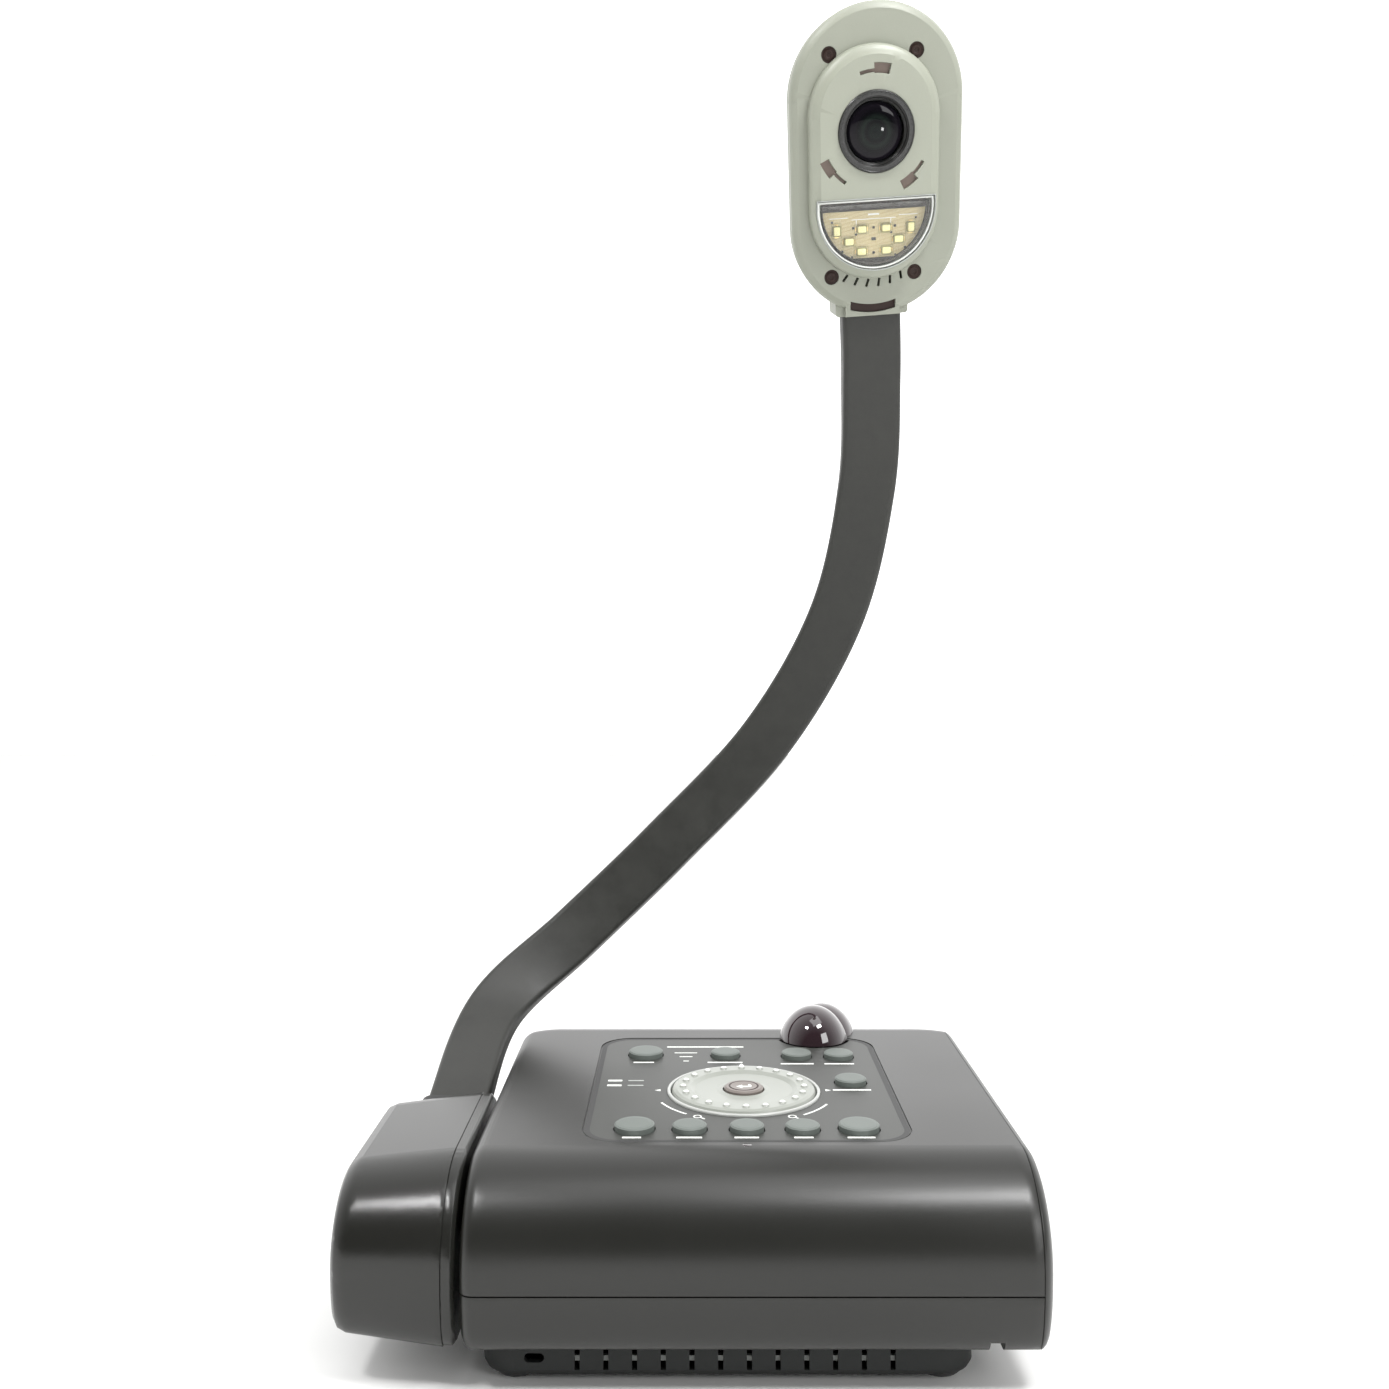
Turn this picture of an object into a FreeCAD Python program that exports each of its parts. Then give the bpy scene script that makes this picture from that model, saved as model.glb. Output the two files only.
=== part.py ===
"""Gooseneck document camera: control base, arm pod, flat flexible arm and lamp-lit camera head.

Frame: millimetres, +X to the right of the front, +Y to the rear, +Z up. The origin is on the desk,
at the centre of the middle foot. Every piece is one solid (or one group of equal solids) in its own file.
"""
import os
from math import cos, radians, sin

import FreeCAD
import Part

V = FreeCAD.Vector

# ---------------------------------------------------------------- driving dimensions
# base body, a bullnosed bar that runs along X
BODY_LEFT, BODY_RIGHT = -79.0, 118.8
COVER_END = 123.5
# rounding of the two ends: depth along X and inset of the outline,
# and a forward sweep of the rear: depth along X and how far it comes forward
LEFT_ROUND, LEFT_SWEEP = (5.0, 4.2), (16.0, 9.0)
RIGHT_ROUND, RIGHT_SWEEP = (COVER_END - BODY_RIGHT, 9.0), (16.7, 7.5)
END_STEPS = 6
COVER_GROOVE = 0.45  # chamfer that shows as a line between the body and its side cover
BODY_FRONT, BODY_REAR = -100.0, 100.0
BODY_BOTTOM, BODY_TOP = 16.0, 77.0
NOSE_Z = 43.0
TOP_FRONT = -68.0
REAR_ROUND = 20.0
FOOT_ROUND = 8.0
SEAM_Z = 37.6
SEAM_GAP = 0.5
WALL = 2.8

# pod that holds the arm, left of the body
POD_RIGHT, POD_COVER_RIGHT = -85.5, -81.0
POD_FRONT, POD_REAR = -98.0, 12.0
POD_TOP = 75.5
POD_TAPER = ((-85.5, 0.0), (-119.5, 3.6), (-122.6, 4.8), (-124.3, 7.0), (-125.0, 10.5))
BRIDGE_Y, BRIDGE_Z, BRIDGE_R = -20.0, 40.0, 12.0

# plinth, feet and ballast
PLINTH = (-74.0, 99.5, -85.0, 85.0)
PLINTH_BOTTOM = 2.0
PLINTH_WALL = 2.4
VENT_FIRST_X, VENT_PITCH, VENT_COUNT = -40.0, 10.0, 12
VENT_WIDTH, VENT_LOW, VENT_HIGH = 1.8, 5.0, 13.4
FOOT_R = 8.0
FOOT_SPOTS = ((-62, -73), (88, -73), (-62, 73), (88, 73), (0, 0))
SCREW_SPOTS = ((-58, -52), (84, -52), (-58, 52), (84, 52))

# control panel
PANEL = (-41.0, 82.0, -65.0, 68.0)
PANEL_DEPTH = 1.2
PANEL_CORNER = 14.0
DIAL_X, DIAL_Y = 21.0, -7.0
RING_OUTER_R, RING_INNER_R = 31.1, 29.7
WHEEL_R, WHEEL_TOP, WHEEL_FLOOR = 29.2, 78.6, 70.5
GRIP_COUNT = 20
HUB_R, HUB_BORE_R, BEARING_BORE_R, BEARING_R = 7.0, 5.2, 7.05, 9.5
ENTER_R = 8.0
KEY_GAP = 0.4
KEY_TOP = 79.2
# name: (x, y, radius)
KEYS = {
    "key_rotate": (-21.5, -50.6, 7.5),
    "key_menu": (-0.9, -51.4, 6.4),
    "key_freeze": (20.5, -51.6, 6.4),
    "key_split": (41.3, -51.6, 6.4),
    "key_delete": (62.4, -50.9, 7.6),
    "key_power": (-20.4, 42.0, 7.5),
    "key_mode": (14.8, 40.8, 6.3),
    "key_record": (46.1, 39.8, 6.5),
    "key_lamp": (64.6, 39.2, 6.4),
    "key_autofocus": (65.7, 3.5, 6.5),
}

# infra-red dome: (x, y, radius, top z) of its two lobes
DOME_LOBES = ((56.2, 69.3, 16.4, 91.6), (61.5, 81.0, 15.6, 89.6))
DOME_WALL = 1.6

# connectors on the rear face: centres along X, all at one height
PORT_Z = 28.0
REAR_WINDOW = (-52.0, 100.0, 20.5, 35.5)
VGA_X = (62.0, 20.0)
VGA_POST_PITCH = 24.99
AUDIO_X = (-24.0, -13.0)
AUDIO_R = 1.8
USB_X = (-38.0,)
DC_X = 90.0
JACK_DEPTH = 14.0

# arm: a flat band that follows a smooth line through these points
ARM_WIDTH, ARM_THICK, ARM_CORNER = 26.0, 10.0, 2.6
CORE_WIDTH, CORE_THICK = 13.0, 4.0
ARM_POINTS = (
    (-99.0, -30.0, 34.0),
    (-99.0, -8.0, 46.0),
    (-99.0, 22.0, 64.0),
    (-91.0, 72.0, 90.0),
    (-56.0, 97.0, 120.0),
    (-12.0, 102.0, 162.0),
    (36.0, 97.0, 214.0),
    (68.0, 82.0, 272.0),
    (80.0, 64.0, 330.0),
    (80.0, 47.6, 377.8),
)
# way the band's front faces: (share of the length, direction)
ARM_FACING = ((0.0, (0.0, -0.6, 0.8)), (0.3, (-0.1, -1.0, 0.25)), (0.75, (-0.1, -1.0, 0.0)))
STEP = 11.0
# hinge stations along the arm: (distance from the anchor, kind)
HINGES = ((92.0, "pitch"), (166.0, "sway"), (240.0, "pitch"), (314.0, "sway"), (392.0, "pitch"))
KNUCKLE = {"pitch": (4.7, 5.8), "sway": (12.5, 14.0)}
CORE_END = {"pitch": 9.0, "sway": 18.0}

# head: a stadium that leans over the desk
NECK = V(78.7, 30.0, 403.2)
HEAD_YAW, HEAD_DIP, HEAD_ROLL = 7.0, 22.5, 5.8
HEAD_W, HEAD_LOW, HEAD_HIGH = 73.0, -1.0, 122.0
HEAD_SIDE = 2.0
HEAD_SEAM = -7.0
HEAD_BACK = -25.0
ARM_IN_HEAD, ARM_BEHIND = 14.0, 7.6
BEZEL_W, BEZEL_LOW, BEZEL_HIGH, BEZEL_TOP = 55.0, 14.4, 106.4, 6.0
BEZEL_SIDE = 4.4
BEZEL_FACE_W = 46.5
LENS_Y, BARREL_R, BARREL_FRONT = 73.0, 16.0, 6.6
WINDOW_Y, WINDOW_R, WINDOW_FLAT = 43.6, 25.4, 47.4
LAMP_BOARD_TOP = 42.2
WINDOW_LOW, WINDOW_HIGH = 3.0, 6.4
LED_SPOTS = ((-16.0, 34.6, 90), (16.0, 34.6, 90), (-5.2, 34.8, 0), (5.2, 34.8, 0),
             (-10.7, 30.0, 0), (10.7, 30.0, 0), (-5.4, 25.7, 0), (5.4, 25.7, 0))
PLUG_SPOTS = ((-18.1, 102.8), (18.1, 102.8), (-18.1, 15.8), (18.1, 15.8))
PLUG_R = 3.2


# ---------------------------------------------------------------- small helpers
def box(x0, x1, y0, y1, z0, z1):
    return Part.makeBox(x1 - x0, y1 - y0, z1 - z0, V(x0, y0, z0))


def rod(x, y, z0, z1, r):
    return Part.makeCylinder(r, z1 - z0, V(x, y, z0))


def rod_y(x, z, y0, y1, r):
    return Part.makeCylinder(r, y1 - y0, V(x, y0, z), V(0, 1, 0))


def fuse(shapes):
    shapes = list(shapes)
    return shapes[0].multiFuse(shapes[1:]).removeSplitter() if len(shapes) > 1 else shapes[0]


def cut(shape, tools):
    for tool in tools:
        shape = shape.cut(tool)
    return shape


def group(shapes):
    return Part.makeCompound(list(shapes))


def quarter(start, corner, end):
    """Quarter-ellipse edge from start to end, with its tangents meeting at corner."""
    k = 0.5523
    curve = Part.BezierCurve()
    curve.setPoles([start, start + (corner - start) * k, end + (corner - end) * k, end])
    return curve.toShape()


def line(a, b):
    return Part.LineSegment(a, b).toShape()


def rounded_rect(x0, x1, y0, y1, z, r):
    """Wire of a rounded rectangle in the plane z."""
    def p(x, y):
        return V(x, y, z)
    corners = ((x1, y1, -1, -1), (x0, y1, 1, -1), (x0, y0, 1, 1), (x1, y0, -1, 1))
    edges = []
    last = p(x1, y0 + r)
    for i, (cx, cy, sx, sy) in enumerate(corners):
        along_y = i % 2 == 0
        first = p(cx, cy + sy * r) if along_y else p(cx + sx * r, cy)
        second = p(cx + sx * r, cy) if along_y else p(cx, cy + sy * r)
        edges.append(line(last, first))
        edges.append(quarter(first, p(cx, cy), second))
        last = second
    return Part.Wire(edges)


def rounded_slab(x0, x1, y0, y1, z0, z1, r):
    return Part.Face(rounded_rect(x0, x1, y0, y1, z0, r)).extrude(V(0, 0, z1 - z0))


def section(x, front, rear, top, inset=0.0):
    """Bullnosed outline of the base at one x, drawn in the plane across X."""
    f, b = front + inset, rear - inset
    low, high = BODY_BOTTOM + inset, top - inset
    rr, fr = REAR_ROUND - 0.5 * inset, FOOT_ROUND * 20 / (20 + inset)
    top_front = front + (TOP_FRONT - BODY_FRONT) + 0.3 * inset

    def p(y, z):
        return V(x, y, z)
    edges = [
        quarter(p(f, NOSE_Z), p(f, high), p(top_front, high)),
        line(p(top_front, high), p(b - rr, high)),
        quarter(p(b - rr, high), p(b, high), p(b, high - rr)),
        line(p(b, high - rr), p(b, low + fr)),
        quarter(p(b, low + fr), p(b, low), p(b - fr, low)),
        line(p(b - fr, low), p(f + fr, low)),
        quarter(p(f + fr, low), p(f, low), p(f, NOSE_Z)),
    ]
    return Part.Wire(edges)


def bar(x0, x1, front, rear, top, inset=0.0):
    return Part.Face(section(x0, front, rear, top, inset)).extrude(V(x1 - x0, 0, 0))


def loft(wires, ruled=True):
    return Part.makeLoft(wires, True, ruled)


def turned(profile, x=0.0, y=0.0):
    """Solid of revolution about the vertical through (x, y); profile is (r, z) points, closed."""
    points = [V(x + r, y, z) for r, z in profile]
    face = Part.Face(Part.makePolygon(points + points[:1]))
    return face.revolve(V(x, y, 0), V(0, 0, 1), 360)


# ---------------------------------------------------------------- base
def rounded_end(depth, inset):
    """Stations of one rounded end: distance in from its face and inset of the outline."""
    turns = [radians(90.0 * k / END_STEPS) for k in range(END_STEPS + 1)]
    return [(depth * (1 - cos(t)), inset * (1 - sin(t))) for t in turns]


def body_section(x, inset=0.0, wall=0.0):
    """Outline of the body at one x, its rear swept forward near both ends."""
    rear = BODY_REAR
    for distance, (depth, cut_back) in ((x - wall - BODY_LEFT, LEFT_SWEEP), (COVER_END - x, RIGHT_SWEEP)):
        rear -= cut_back * max(0.0, 1 - distance / depth) ** 2
    return section(x, BODY_FRONT, rear, BODY_TOP, inset)


def body_outer(wall=0.0):
    """Bar that runs along X, its left end rounded."""
    stations = [(BODY_LEFT + wall + step, inset) for step, inset in rounded_end(*LEFT_ROUND)]
    stations += [(BODY_LEFT + wall + LEFT_SWEEP[0] * share, 0.0) for share in (0.5, 0.75, 1.0)]
    stations += [(COVER_END - RIGHT_SWEEP[0] * share, 0.0) for share in (1.0, 0.75, 0.5)]
    stations.append((BODY_RIGHT, 0.0))
    return loft([body_section(x, inset + wall, wall) for x, inset in stations])


def dome_lobe(x, y, r, top, low):
    base = BODY_TOP - 6.0
    edges = [
        line(V(x, y, low), V(x + r, y, low)),
        line(V(x + r, y, low), V(x + r, y, base)),
        quarter(V(x + r, y, base), V(x + r, y, top), V(x, y, top)),
        line(V(x, y, top), V(x, y, low)),
    ]
    return Part.Face(Part.Wire(edges)).revolve(V(x, y, 0), V(0, 0, 1), 360)


def upper_housing():
    shell = body_outer().cut(body_outer(WALL))
    shell = shell.common(box(BODY_LEFT, BODY_RIGHT, -120, 120, SEAM_Z, 100))
    cup = rod(DIAL_X, DIAL_Y, WHEEL_FLOOR - 2.5, BODY_TOP - 1.5, RING_OUTER_R + 2.4)
    posts = [rod(x, y, 63.6, BODY_TOP - 2, 3.5) for x in (-36, 77) for y in (-57, 60)]
    shell = fuse([shell, cup] + posts)
    x0, x1, y0, y1 = PANEL
    tools = [rounded_slab(x0, x1, y0, y1, BODY_TOP - PANEL_DEPTH, BODY_TOP + 1, PANEL_CORNER)]
    tools.append(rod(DIAL_X, DIAL_Y, WHEEL_FLOOR, BODY_TOP + 1, RING_OUTER_R + 0.1))
    tools.append(rod(DIAL_X, DIAL_Y, WHEEL_FLOOR - 4, WHEEL_FLOOR + 1, BEARING_R))
    for x, y, r in KEYS.values():
        tools.append(rod(x, y, 70, BODY_TOP + 1, r + KEY_GAP))
    tools.append(Part.makeCylinder(BRIDGE_R, 6, V(BODY_LEFT - 1, BRIDGE_Y, BRIDGE_Z), V(1, 0, 0)))
    tools.append(rod(56, 73, BODY_TOP - 6, BODY_TOP + 1, 2.0))
    return cut(shell, tools)


def lower_housing():
    shell = body_outer().cut(body_outer(WALL))
    shell = shell.common(box(BODY_LEFT, BODY_RIGHT, -120, 120, 0, SEAM_Z - SEAM_GAP))
    bosses = [rod(x, y, BODY_BOTTOM + 1, 24.0, 4.0) for x, y in SCREW_SPOTS]
    shell = fuse([shell] + bosses)
    x0, x1, z0, z1 = REAR_WINDOW
    tools = [box(x0, x1, BODY_REAR - WALL - 1, BODY_REAR + 1, z0, z1)]
    tools += [rod(x, y, BODY_BOTTOM - 1, 23.0, 1.5) for x, y in SCREW_SPOTS]
    tools.append(Part.makeCylinder(BRIDGE_R, 6, V(BODY_LEFT - 1, BRIDGE_Y, BRIDGE_Z), V(1, 0, 0)))
    tools.append(box(101.5, 106.5, BODY_FRONT - 1, BODY_FRONT + 14, BODY_BOTTOM - 1, BODY_BOTTOM + 4))
    return cut(shell, tools)


def side_cover():
    stations = [(COVER_END - step, inset) for step, inset in rounded_end(*RIGHT_ROUND)][:-1]
    stations += [(BODY_RIGHT + COVER_GROOVE, 0.0), (BODY_RIGHT, COVER_GROOVE)]
    return loft([body_section(x, inset) for x, inset in stations])


def vent_plinth():
    x0, x1, y0, y1 = PLINTH
    wires = [rounded_rect(x0 + i, x1 - i, y0 + i, y1 - i, z, 12 - i)
             for z, i in ((PLINTH_BOTTOM, 3.0), (PLINTH_BOTTOM + 1.2, 1.0), (PLINTH_BOTTOM + 3, 0.0),
                          (BODY_BOTTOM, 0.0))]
    w = PLINTH_WALL
    cavity = rounded_slab(x0 + w + 1, x1 - w - 1, y0 + w, y1 - w, PLINTH_BOTTOM + w, BODY_BOTTOM + 1, 8)
    shell = loft(wires).cut(cavity)
    columns = [rod(x, y, PLINTH_BOTTOM + 1, BODY_BOTTOM, 5.0) for x, y in SCREW_SPOTS]
    shell = fuse([shell] + columns)
    tools = [rod(x, y, 0, 5.6, 3.4) for x, y in SCREW_SPOTS]
    tools += [rod(x, y, 5, BODY_BOTTOM + 1, 1.7) for x, y in SCREW_SPOTS]
    for i in range(VENT_COUNT):
        x = VENT_FIRST_X + i * VENT_PITCH
        tools.append(box(x - VENT_WIDTH / 2, x + VENT_WIDTH / 2, y0 - 1, y0 + w + 1, VENT_LOW, VENT_HIGH))
    tools.append(rounded_slot_y(-55.0, 9.2, 7.0, 3.2, y0 - 1, y0 + w + 1))
    return cut(shell, tools)


def rounded_slot_y(x, z, long, tall, y0, y1):
    """Slot with round ends that runs along X and is cut through along Y."""
    half = (long - tall) / 2
    middle = box(x - half, x + half, y0, y1, z - tall / 2, z + tall / 2)
    return fuse([middle, rod_y(x - half, z, y0, y1, tall / 2), rod_y(x + half, z, y0, y1, tall / 2)])


def feet():
    pads = []
    for x, y in FOOT_SPOTS:
        profile = ((0, 0), (FOOT_R - 0.8, 0), (FOOT_R, 0.8), (FOOT_R, PLINTH_BOTTOM), (0, PLINTH_BOTTOM))
        pads.append(turned(profile, x, y))
    return group(pads)


def ballast_plate():
    plate = rounded_slab(-62, 88, -70, 70, PLINTH_BOTTOM + PLINTH_WALL, 9.0, 8)
    return cut(plate, [rod(x, y, 0, 12, 5.6) for x, y in SCREW_SPOTS])


def housing_screws():
    screws = []
    for x, y in SCREW_SPOTS:
        screws.append(fuse([rod(x, y, 3.4, 5.6, 3.0), rod(x, y, 5.5, 22.5, 1.5)]))
    return group(screws)


def main_board():
    board = rounded_slab(-66, 92, -62, 84, 24.0, 25.6, 3)
    return cut(board, [rod(x, y, 20, 27, 1.6) for x, y in SCREW_SPOTS])


# ---------------------------------------------------------------- controls
def keypad_panel():
    x0, x1, y0, y1 = PANEL
    gap = 0.5
    panel = rounded_slab(x0 + gap, x1 - gap, y0 + gap, y1 - gap, BODY_TOP - PANEL_DEPTH, BODY_TOP - 0.15,
                         PANEL_CORNER - gap)
    tools = [rod(DIAL_X, DIAL_Y, 70, 80, RING_OUTER_R + 0.1)]
    tools += [rod(x, y, 70, 80, r + KEY_GAP) for x, y, r in KEYS.values()]
    lobe_x, lobe_y, lobe_r, _ = DOME_LOBES[0]
    tools.append(rod(lobe_x, lobe_y, 70, 80, lobe_r + 0.3))
    return cut(panel, tools)


def key(x, y, r):
    profile = ((0, 66.4), (1.6, 66.4), (1.6, 72.4), (r + 1.2, 72.4), (r + 1.2, 73.6), (r, 73.6),
               (r, KEY_TOP - 0.6), (r - 0.6, KEY_TOP - 0.12), (r - 2.0, KEY_TOP), (0, KEY_TOP))
    return turned(profile, x, y)


def key_board():
    return rounded_slab(-40, 81, -61, 64, 62.0, 63.6, 4)


def key_switches():
    switches = []
    for x, y, _ in KEYS.values():
        switches.append(fuse([box(x - 3, x + 3, y - 3, y + 3, 63.6, 64.6), rod(x, y, 64.5, 65.1, 1.6)]))
    switches.append(rod(DIAL_X, DIAL_Y, 63.6, 64.2, 2.5))
    return group(switches)


def wheel_ring():
    profile = ((RING_INNER_R, WHEEL_FLOOR), (RING_OUTER_R, WHEEL_FLOOR), (RING_OUTER_R, BODY_TOP + 0.3),
               (RING_OUTER_R - 0.4, BODY_TOP + 0.7), (RING_INNER_R + 0.3, BODY_TOP + 0.7),
               (RING_INNER_R, BODY_TOP + 0.4))
    return turned(profile, DIAL_X, DIAL_Y)


def wheel_bearing():
    tube = rod(DIAL_X, DIAL_Y, 66.5, WHEEL_FLOOR, BEARING_R)
    return tube.cut(rod(DIAL_X, DIAL_Y, 60, 80, BEARING_BORE_R))


def zoom_wheel():
    top = WHEEL_TOP
    profile = ((HUB_BORE_R, 66.6), (HUB_R, 66.6), (HUB_R, WHEEL_FLOOR + 0.5), (WHEEL_R, WHEEL_FLOOR + 0.5),
               (WHEEL_R, top - 1.6), (WHEEL_R - 0.6, top - 0.5), (WHEEL_R - 2.0, top), (WHEEL_R - 7.5, top),
               (WHEEL_R - 9.5, top - 1.0), (ENTER_R + 3.0, top - 1.3), (ENTER_R + 0.5, top - 1.0),
               (ENTER_R + 0.5, 74.4), (HUB_BORE_R, 74.4))
    wheel = turned(profile, DIAL_X, DIAL_Y)
    grips = []
    for i in range(GRIP_COUNT):
        a = radians(360.0 * i / GRIP_COUNT)
        spot = V(DIAL_X + (WHEEL_R - 4.6) * cos(a), DIAL_Y + (WHEEL_R - 4.6) * sin(a), top - 1.0)
        grips.append(Part.makeSphere(1.9, spot))
    return fuse([wheel] + grips)


def enter_button():
    profile = ((0, 65.4), (6.4, 65.4), (6.4, 66.1), (4.3, 66.1), (4.3, 75.6), (ENTER_R, 75.6),
               (ENTER_R, 78.3), (ENTER_R - 0.8, 78.9), (ENTER_R - 2.6, 79.0), (0, 78.6))
    return turned(profile, DIAL_X, DIAL_Y)


def ir_dome():
    outer = fuse(dome_lobe(x, y, r, top, 60.0) for x, y, r, top in DOME_LOBES)
    w = DOME_WALL
    inner = fuse(dome_lobe(x, y, r - w, top - w, 59.0) for x, y, r, top in DOME_LOBES)
    return outer.cut(inner).cut(body_outer()).cut(box(-100, 150, -120, 120, 0, 60.1))


def ir_receiver():
    return fuse([box(51.5, 60.5, 68.5, 74.5, BODY_TOP, 82), Part.makeSphere(2.2, V(56, 68.5, 79.5))])


# ---------------------------------------------------------------- rear connectors
def vga_outline(x, y, half_wide, half_narrow, half_tall):
    points = [V(x - half_narrow, y, PORT_Z - half_tall), V(x + half_narrow, y, PORT_Z - half_tall),
              V(x + half_wide, y, PORT_Z + half_tall), V(x - half_wide, y, PORT_Z + half_tall)]
    return Part.Face(Part.makePolygon(points + points[:1]))


def rear_panel():
    x0, x1, z0, z1 = REAR_WINDOW
    back = BODY_REAR - 0.6
    plate = box(x0, x1, back - 2.0, back, z0, z1)
    tools = []
    for x in VGA_X:
        tools.append(vga_outline(x, back - 3, 8.7, 8.0, 4.3).extrude(V(0, 4, 0)))
        tools += [rod_y(x + s * VGA_POST_PITCH / 2, PORT_Z, back - 3, back + 1, 2.9) for s in (-1, 1)]
    tools += [rod_y(x, PORT_Z, back - 3, back + 1, 3.6) for x in AUDIO_X]
    tools += [box(x - 6.8, x + 6.8, back - 3, back + 1, PORT_Z - 3.4, PORT_Z + 3.4) for x in USB_X]
    tools.append(rod_y(DC_X, PORT_Z, back - 3, back + 1, 4.0))
    return cut(plate, tools)


def video_ports():
    ports = []
    back = BODY_REAR - 0.6
    for x in VGA_X:
        shell = vga_outline(x, back - 10, 8.5, 7.8, 4.1).extrude(V(0, 15, 0))
        socket = vga_outline(x, back + 1, 7.9, 7.2, 3.5).extrude(V(0, 5, 0))
        flange = box(x - 15.4, x + 15.4, back - 6.0, back - 2.2, PORT_Z - 5.4, PORT_Z + 6.2)
        posts = [rod_y(x + s * VGA_POST_PITCH / 2, PORT_Z, back - 6, back + 4, 2.6) for s in (-1, 1)]
        holes = [rod_y(x + s * VGA_POST_PITCH / 2, PORT_Z, back - 7, back + 5, 1.2) for s in (-1, 1)]
        ports.append(cut(fuse([shell, flange] + posts), [socket] + holes))
    return group(ports)


def audio_jacks():
    jacks = []
    back = BODY_REAR - 0.6
    for x in AUDIO_X:
        body = box(x - 4.4, x + 4.4, back - 16, back - 2.0, PORT_Z - 2.4, PORT_Z + 5.4)
        nose = rod_y(x, PORT_Z, back - 3, back + 0.4, 3.4)
        jacks.append(fuse([body, nose]).cut(rod_y(x, PORT_Z, back + 0.4 - JACK_DEPTH, back + 2, AUDIO_R)))
    return group(jacks)


def usb_ports():
    ports = []
    back = BODY_REAR - 0.6
    for x in USB_X:
        can = box(x - 6.6, x + 6.6, back - 15, back + 0.4, PORT_Z - 3.2, PORT_Z + 3.2)
        mouth = box(x - 6.1, x + 6.1, back - 13, back + 1, PORT_Z - 2.6, PORT_Z + 2.6)
        tongue = box(x - 5.2, x + 5.2, back - 13.5, back - 1.0, PORT_Z + 0.4, PORT_Z + 2.2)
        ports.append(fuse([can.cut(mouth), tongue]))
    return group(ports)


def dc_jack():
    back = BODY_REAR - 0.6
    body = box(DC_X - 4.6, DC_X + 4.6, back - 15, back - 2.0, PORT_Z - 2.4, PORT_Z + 5.4)
    nose = rod_y(DC_X, PORT_Z, back - 3, back + 0.2, 3.8)
    barrel = fuse([body, nose]).cut(rod_y(DC_X, PORT_Z, back - 10, back + 1, 2.9))
    return fuse([barrel, rod_y(DC_X, PORT_Z, back - 11, back - 1.5, 1.0)])


# ---------------------------------------------------------------- pod
def pod_outer(inset=0.0):
    wires = []
    for x, taper in POD_TAPER:
        shift = inset * (POD_RIGHT - x) / (POD_RIGHT - POD_TAPER[-1][0])
        wires.append(section(x + shift, POD_FRONT, POD_REAR, POD_TOP, taper + inset))
    return loft(wires)


def pod_shell():
    shell = pod_outer().cut(pod_outer(2.4)).cut(band(0.0, 75.0, 0.5))
    return shell.cut(collar_solid()).common(box(-140, POD_RIGHT, -120, 120, 0, 100))


def pod_inner_cover():
    stations = ((POD_RIGHT, 0.0), (POD_COVER_RIGHT - 1.2, 0.0), (POD_COVER_RIGHT, 1.4))
    cover = loft([section(x, POD_FRONT, POD_REAR, POD_TOP, inset + 0.4) for x, inset in stations])
    length = BODY_LEFT + WALL - POD_COVER_RIGHT
    spigot = Part.makeCylinder(BRIDGE_R, length + 1, V(POD_COVER_RIGHT - 1, BRIDGE_Y, BRIDGE_Z), V(1, 0, 0))
    bore = Part.makeCylinder(BRIDGE_R - 3, 30, V(POD_RIGHT - 5, BRIDGE_Y, BRIDGE_Z), V(1, 0, 0))
    return cut(fuse([cover, spigot]), [bore, collar_solid()])


# ---------------------------------------------------------------- arm
def spline(points, steps=24):
    """Catmull-Rom line through points, as a dense list of points from the second to the last but one."""
    out = []
    for i in range(1, len(points) - 2):
        a, b, c, d = points[i - 1:i + 3]
        for k in range(steps):
            t = k / steps
            out.append((b * 2 + (c - a) * t + (a * 2 - b * 5 + c * 4 - d) * t ** 2
                        + (b * 3 - a - c * 3 + d) * t ** 3) * 0.5)
    out.append(points[-2])
    return out


def unit(v):
    return v * (1.0 / v.Length)


def head_axes():
    """Right, up and forward directions of the head."""
    yaw, dip = radians(HEAD_YAW), radians(HEAD_DIP)
    forward = V(sin(yaw) * cos(dip), -cos(yaw) * cos(dip), -sin(dip))
    up = unit(V(0, 0, 1) - forward * forward.z)
    turn = FreeCAD.Rotation(forward, HEAD_ROLL)
    up = turn.multVec(up)
    return up.cross(forward), up, forward


HEAD_RIGHT, HEAD_UP, HEAD_FORWARD = head_axes()


def head_point(x, y, z):
    return NECK + HEAD_RIGHT * x + HEAD_UP * y + HEAD_FORWARD * z


def arm_line():
    knots = [V(*p) for p in ARM_POINTS]
    knots += [head_point(0, ARM_IN_HEAD, -ARM_BEHIND), head_point(0, ARM_IN_HEAD + 45, -ARM_BEHIND)]
    line_points = spline(knots)
    lengths = [0.0]
    for a, b in zip(line_points, line_points[1:]):
        lengths.append(lengths[-1] + (b - a).Length)
    return line_points, lengths


ARM_LINE, ARM_LENGTHS = arm_line()
ARM_LENGTH = ARM_LENGTHS[-1]


def arm_point(s):
    s = min(max(s, 0.0), ARM_LENGTH)
    i = 0
    while i < len(ARM_LENGTHS) - 2 and ARM_LENGTHS[i + 1] < s:
        i += 1
    share = (s - ARM_LENGTHS[i]) / (ARM_LENGTHS[i + 1] - ARM_LENGTHS[i])
    return ARM_LINE[i] + (ARM_LINE[i + 1] - ARM_LINE[i]) * share


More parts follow.
